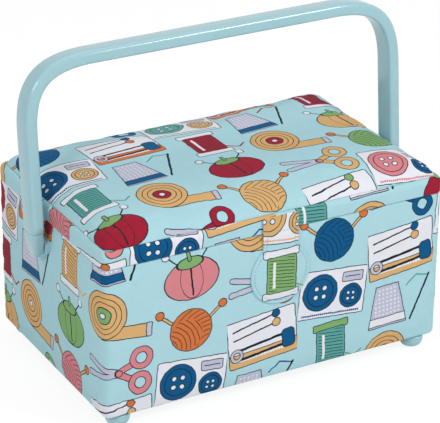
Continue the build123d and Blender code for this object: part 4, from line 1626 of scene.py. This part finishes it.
# ---------------------------------------------------------------- inside the lid
class SEWING_BOX_OT_lid_inside(bpy.types.Operator):
    """Pincushion and elastic-mouthed pocket sewn inside the lid"""

    bl_idname = "sewing_box.lid_inside"
    bl_label = "Pincushion and Pocket"

    CORNER = 14 * MM
    CUSHION_LEVELS = (                 # inset in millimetres, share of the height
        (1.6, 0.0), (0.5, 0.08), (0.05, 0.2), (0.0, 0.34), (0.3, 0.46), (1.2, 0.58), (2.8, 0.7), (5.0, 0.8),
        (8.0, 0.88),
    )
    GATHERS = 44                       # half waves along the pocket's mouth
    FULLNESS = 1.3                     # cloth in the pocket, as a share of its width

    def execute(self, context):
        self.pincushion()
        self.pocket()
        return {"FINISHED"}

    def pincushion(self):
        low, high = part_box("pincushion")
        plan = Plan(low, high, self.CORNER, step=3 * MM, corner_steps=10)
        height = high.z - low.z
        profile = [(inset * MM, height * share) for inset, share in self.CUSHION_LEVELS]
        rings = [plan.ring(inset, high.z - depth, max(self.CORNER - inset * 0.5, 5 * MM))
                 for inset, depth in profile]
        run = run_along(profile)
        patch = Patchwork()
        patch.add_rows(rings, lambda j, i: (plan.around[i], run[j]))
        top = plan.spanned(rings[-1])
        for j, row in enumerate(top):
            for i, point in enumerate(row):
                s, t = 2 * i / (len(row) - 1) - 1, 2 * j / (len(top) - 1) - 1
                point.z -= height * 0.12 * (1 - s * s) * (1 - t * t) ** 0.8
        patch.add_flat(top)
        patch.add_flat(plan.spanned(rings[0]))

        def facing(point):
            return Vector((point.x - plan.centre.x, point.y - plan.centre.y, 0)).normalized()

        stitch_row(patch, plan.ring(-0.25 * MM, high.z - 0.9 * MM), facing, closed=True)
        piece = patch.build("pincushion_pad", "pincushion_felt", "sewing_thread")
        puff(piece, lambda point: point.z > high.z - 2.5 * MM, 1.2 * MM)
        finish_piece(piece, "lid", "pincushion_cloth", "pincushion")

    def pocket(self):
        low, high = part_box("lid_pocket")
        band_low, band_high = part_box("pocket_elastic")
        columns, rows_up = 150, 44
        depth, width = high.z - low.z, high.x - low.x
        mouth, seam = band_low.y, high.y

        def out(s, t):
            """How far the cloth stands off the lid, at shares of the way across and from mouth to seam."""
            sides, foot = smooth(min(s, 1 - s), 0.0, 0.06), smooth(1 - t, 0.0, 0.08)
            sway = 0.9 * noise.noise(Vector((s * 30, t * 2, 4)))
            gather = math.sin(s * math.pi * self.GATHERS + sway) * 0.5 + 0.5
            fade = math.exp(-t * 3.2)
            swell = 0.55 + 0.35 * math.sin(math.pi * min(t * 1.2, 1.0))
            return depth * sides * foot * (swell * (1 - fade * 0.6) + gather * fade * 0.5)

        def face(lift):
            """Rows of points of one face, from the mouth to the seam."""
            ceiling = high.z - 0.25 * MM - lift
            return [[
                Vector((low.x + width * i / columns, mouth + (seam - mouth) * j / rows_up,
                        ceiling - out(i / columns, j / rows_up)))
                for i in range(columns + 1)
            ] for j in range(rows_up + 1)]

        patch = Patchwork()
        patch.add_sheet([face(0.0), face(0.35 * MM)], self.FULLNESS * width, seam - mouth)
        hem, z = 2 * MM, high.z - 0.7 * MM
        left, right, front, back = low.x + hem, high.x - hem, mouth + 8 * MM, seam - hem
        path = [Vector((x, y, z)) for x, y in ((left, front), (left, back), (right, back), (right, front))]
        stitch_row(patch, path, lambda _: Vector((0, 0, -1)))
        piece = patch.build("gathered_pocket", "lining_cotton", "sewing_thread")
        finish_piece(piece, "lid", "lining_cloth", "lid_pocket")
        casing = self.elastic(band_low, band_high)

    def elastic(self, low, high, columns=300):
        """Gathered casing of the elastic along the pocket's mouth."""
        width, half_y, half_z = high.x - low.x, (high.y - low.y) / 2, (high.z - low.z) / 2
        y, z = (low.y + high.y) / 2, (low.z + high.z) / 2 - 0.2 * MM
        rings = []
        for i in range(columns + 1):
            s = i / columns
            ripple = math.sin(s * math.pi * self.GATHERS) * 0.5 + 0.5
            ends = 0.5 + 0.5 * smooth(min(s, 1 - s), 0.0, 0.012)
            reach_y, reach_z = half_y * (0.9 + 0.1 * ripple), half_z * (0.62 + 0.33 * ripple) * ends
            rings.append([
                Vector((low.x + width * s,
                        y + math.copysign(abs(across) ** 0.6, across) * reach_y,
                        z + math.copysign(abs(rise) ** 0.8, rise) * reach_z))
                for across, rise in circle(16)
            ])
        patch = Patchwork()
        patch.add_tube(rings, lambda j, i: (MM * i, width * j / columns))
        piece = patch.build("elastic_casing", "elastic_web")
        return finish_piece(piece, "lid", "elastic", "pocket_elastic")


# ---------------------------------------------------------------- stage
class SEWING_BOX_OT_stage(bpy.types.Operator):
    """Pale floor, soft lamps and the camera"""

    bl_idname = "sewing_box.stage"
    bl_label = "Stage"

    CAMERA_PLACE = (-0.83344, -1.50270, 0.93662)
    CAMERA_TURN = -29.036              # degrees round the box, 0 looks along +Y
    CAMERA_RISE = 25.367               # degrees above level
    CAMERA_ROLL = 0.499                # degrees
    LENS = 181.94                      # millimetres
    SENSOR = 36.0                      # width in millimetres
    AIM = (0, 0, 0.1)                  # what the lamps shine on
    LAMPS = (                          # name, place, size, watts
        ("key_lamp", (1.05, -1.5, 1.45), 0.5, 20.4),
        ("fill_lamp", (-1.45, -0.95, 1.25), 0.5, 13.5),
        ("top_lamp", (0.1, 0.5, 1.9), 1.5, 8.0),
    )
    WHITE = (1.0, 1.0, 1.0, 1.0)
    PAPER = (0.9, 0.9, 0.9, 1.0)
    ROOM = (0.33, 0.33, 0.33, 1.0)     # light from all round
    FLOOR_SIZE = 12.0                  # metres
    FLOOR_GLOW = 1.07                  # brings the lit floor up to white
    FLOOR_GLOW_SHARE = 0.82            # the rest shows the box's shadow

    def execute(self, context):
        scene = context.scene
        self.camera(scene)
        self.lamps(scene)
        self.floor(scene)
        self.world(scene)
        scene.view_settings.view_transform = "Standard"
        return {"FINISHED"}

    def camera(self, scene):
        turn, rise = math.radians(self.CAMERA_TURN), math.radians(self.CAMERA_RISE)
        back = Vector((math.sin(turn) * math.cos(rise), -math.cos(turn) * math.cos(rise), math.sin(rise)))
        facing = (-back).to_track_quat("-Z", "Y").to_matrix().to_4x4()
        roll = Matrix.Rotation(math.radians(self.CAMERA_ROLL), 4, "Z")
        data = bpy.data.cameras.new("camera")
        data.sensor_width, data.sensor_fit, data.lens = self.SENSOR, "HORIZONTAL", self.LENS
        data.clip_start, data.clip_end = 0.05, 20.0
        camera = bpy.data.objects.new("camera", data)
        camera.matrix_world = Matrix.Translation(self.CAMERA_PLACE) @ facing @ roll
        scene.collection.objects.link(camera)
        scene.camera = camera

    def lamps(self, scene):
        for name, place, size, watts in self.LAMPS:
            data = bpy.data.lights.new(name, "AREA")
            data.shape, data.size, data.energy = "DISK", size, watts
            lamp = bpy.data.objects.new(name, data)
            lamp.location = place
            lamp.rotation_mode = "QUATERNION"
            lamp.rotation_quaternion = (Vector(self.AIM) - Vector(place)).to_track_quat("-Z", "Y")
            scene.collection.objects.link(lamp)

    def floor(self, scene):
        half = self.FLOOR_SIZE / 2
        corners = [(-half, -half, 0), (half, -half, 0), (half, half, 0), (-half, half, 0)]
        mesh = bpy.data.meshes.new("studio_floor")
        mesh.from_pydata(corners, [], [(0, 1, 2, 3)])
        floor = bpy.data.objects.new("studio_floor", mesh)
        scene.collection.objects.link(floor)
        floor.location.z = -0.05 * MM
        finish = Finish("floor_paper", base_color=self.PAPER, roughness=0.9, specular_ior_level=0.1)
        paper = Wire(finish, finish.shader.outputs[0])
        glow = finish.add("ShaderNodeEmission", {}, {"Color": self.WHITE, "Strength": self.FLOOR_GLOW})
        share = self.seen(finish) * self.FLOOR_GLOW_SHARE
        finish.show(finish.add("ShaderNodeMixShader", {}, (share, paper, glow)))
        mesh.materials.append(finish.material)

    def seen(self, graph):
        """1 for rays that look at the background, straight or through gloss and glass."""
        paths = graph.add("ShaderNodeLightPath").socket.node.outputs
        return both(*(Wire(graph, paths[f"Is {kind} Ray"]) for kind in ("Camera", "Glossy", "Transmission")))

    def world(self, scene):
        world = bpy.data.worlds.new("studio")
        world.use_nodes = True
        graph = Graph(world.node_tree, "ShaderNodeOutputWorld")
        room = graph.mix(self.seen(graph), self.ROOM, self.WHITE)
        graph.show(graph.add("ShaderNodeBackground", {}, {"Color": room, "Strength": 1.0}))
        scene.world = world


# ---------------------------------------------------------------- panel and registration
OPERATORS = (
    SEWING_BOX_OT_stage,
    SEWING_BOX_OT_body_cover,
    SEWING_BOX_OT_lid_band,
    SEWING_BOX_OT_lid_cover,
    SEWING_BOX_OT_tab,
    SEWING_BOX_OT_hinge_tape,
    SEWING_BOX_OT_handle,
    SEWING_BOX_OT_feet,
    SEWING_BOX_OT_linings,
    SEWING_BOX_OT_lid_inside,
    SEWING_BOX_OT_fittings,
)


class SEWING_BOX_PT_panel(bpy.types.Panel):
    """Lists the pieces of the sewing box"""

    bl_label = "Sewing Box"
    bl_idname = "SEWING_BOX_PT_panel"
    bl_space_type = "VIEW_3D"
    bl_region_type = "UI"
    bl_category = "Sewing Box"

    def draw(self, context):
        for operator in OPERATORS:
            self.layout.operator(operator.bl_idname)
        for group in (context.scene.sewing_box_sizes, context.scene.sewing_box_colours):
            for name in group.bl_rna.properties.keys():
                if name not in ("rna_type", "name"):
                    self.layout.prop(group, name)


CLASSES = (SewingBoxSizes, SewingBoxColours, *OPERATORS, SEWING_BOX_PT_panel)


def register():
    for made in CLASSES:
        bpy.utils.register_class(made)
    bpy.types.Scene.sewing_box_sizes = PointerProperty(type=SewingBoxSizes)
    bpy.types.Scene.sewing_box_colours = PointerProperty(type=SewingBoxColours)


def unregister():
    del bpy.types.Scene.sewing_box_colours
    del bpy.types.Scene.sewing_box_sizes
    for made in reversed(CLASSES):
        bpy.utils.unregister_class(made)


def main():
    """Makes every piece in order."""
    register()
    for operator in OPERATORS:
        group, name = operator.bl_idname.split(".")
        getattr(getattr(bpy.ops, group), name)()
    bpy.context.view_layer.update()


if __name__ == "__main__":
    main()
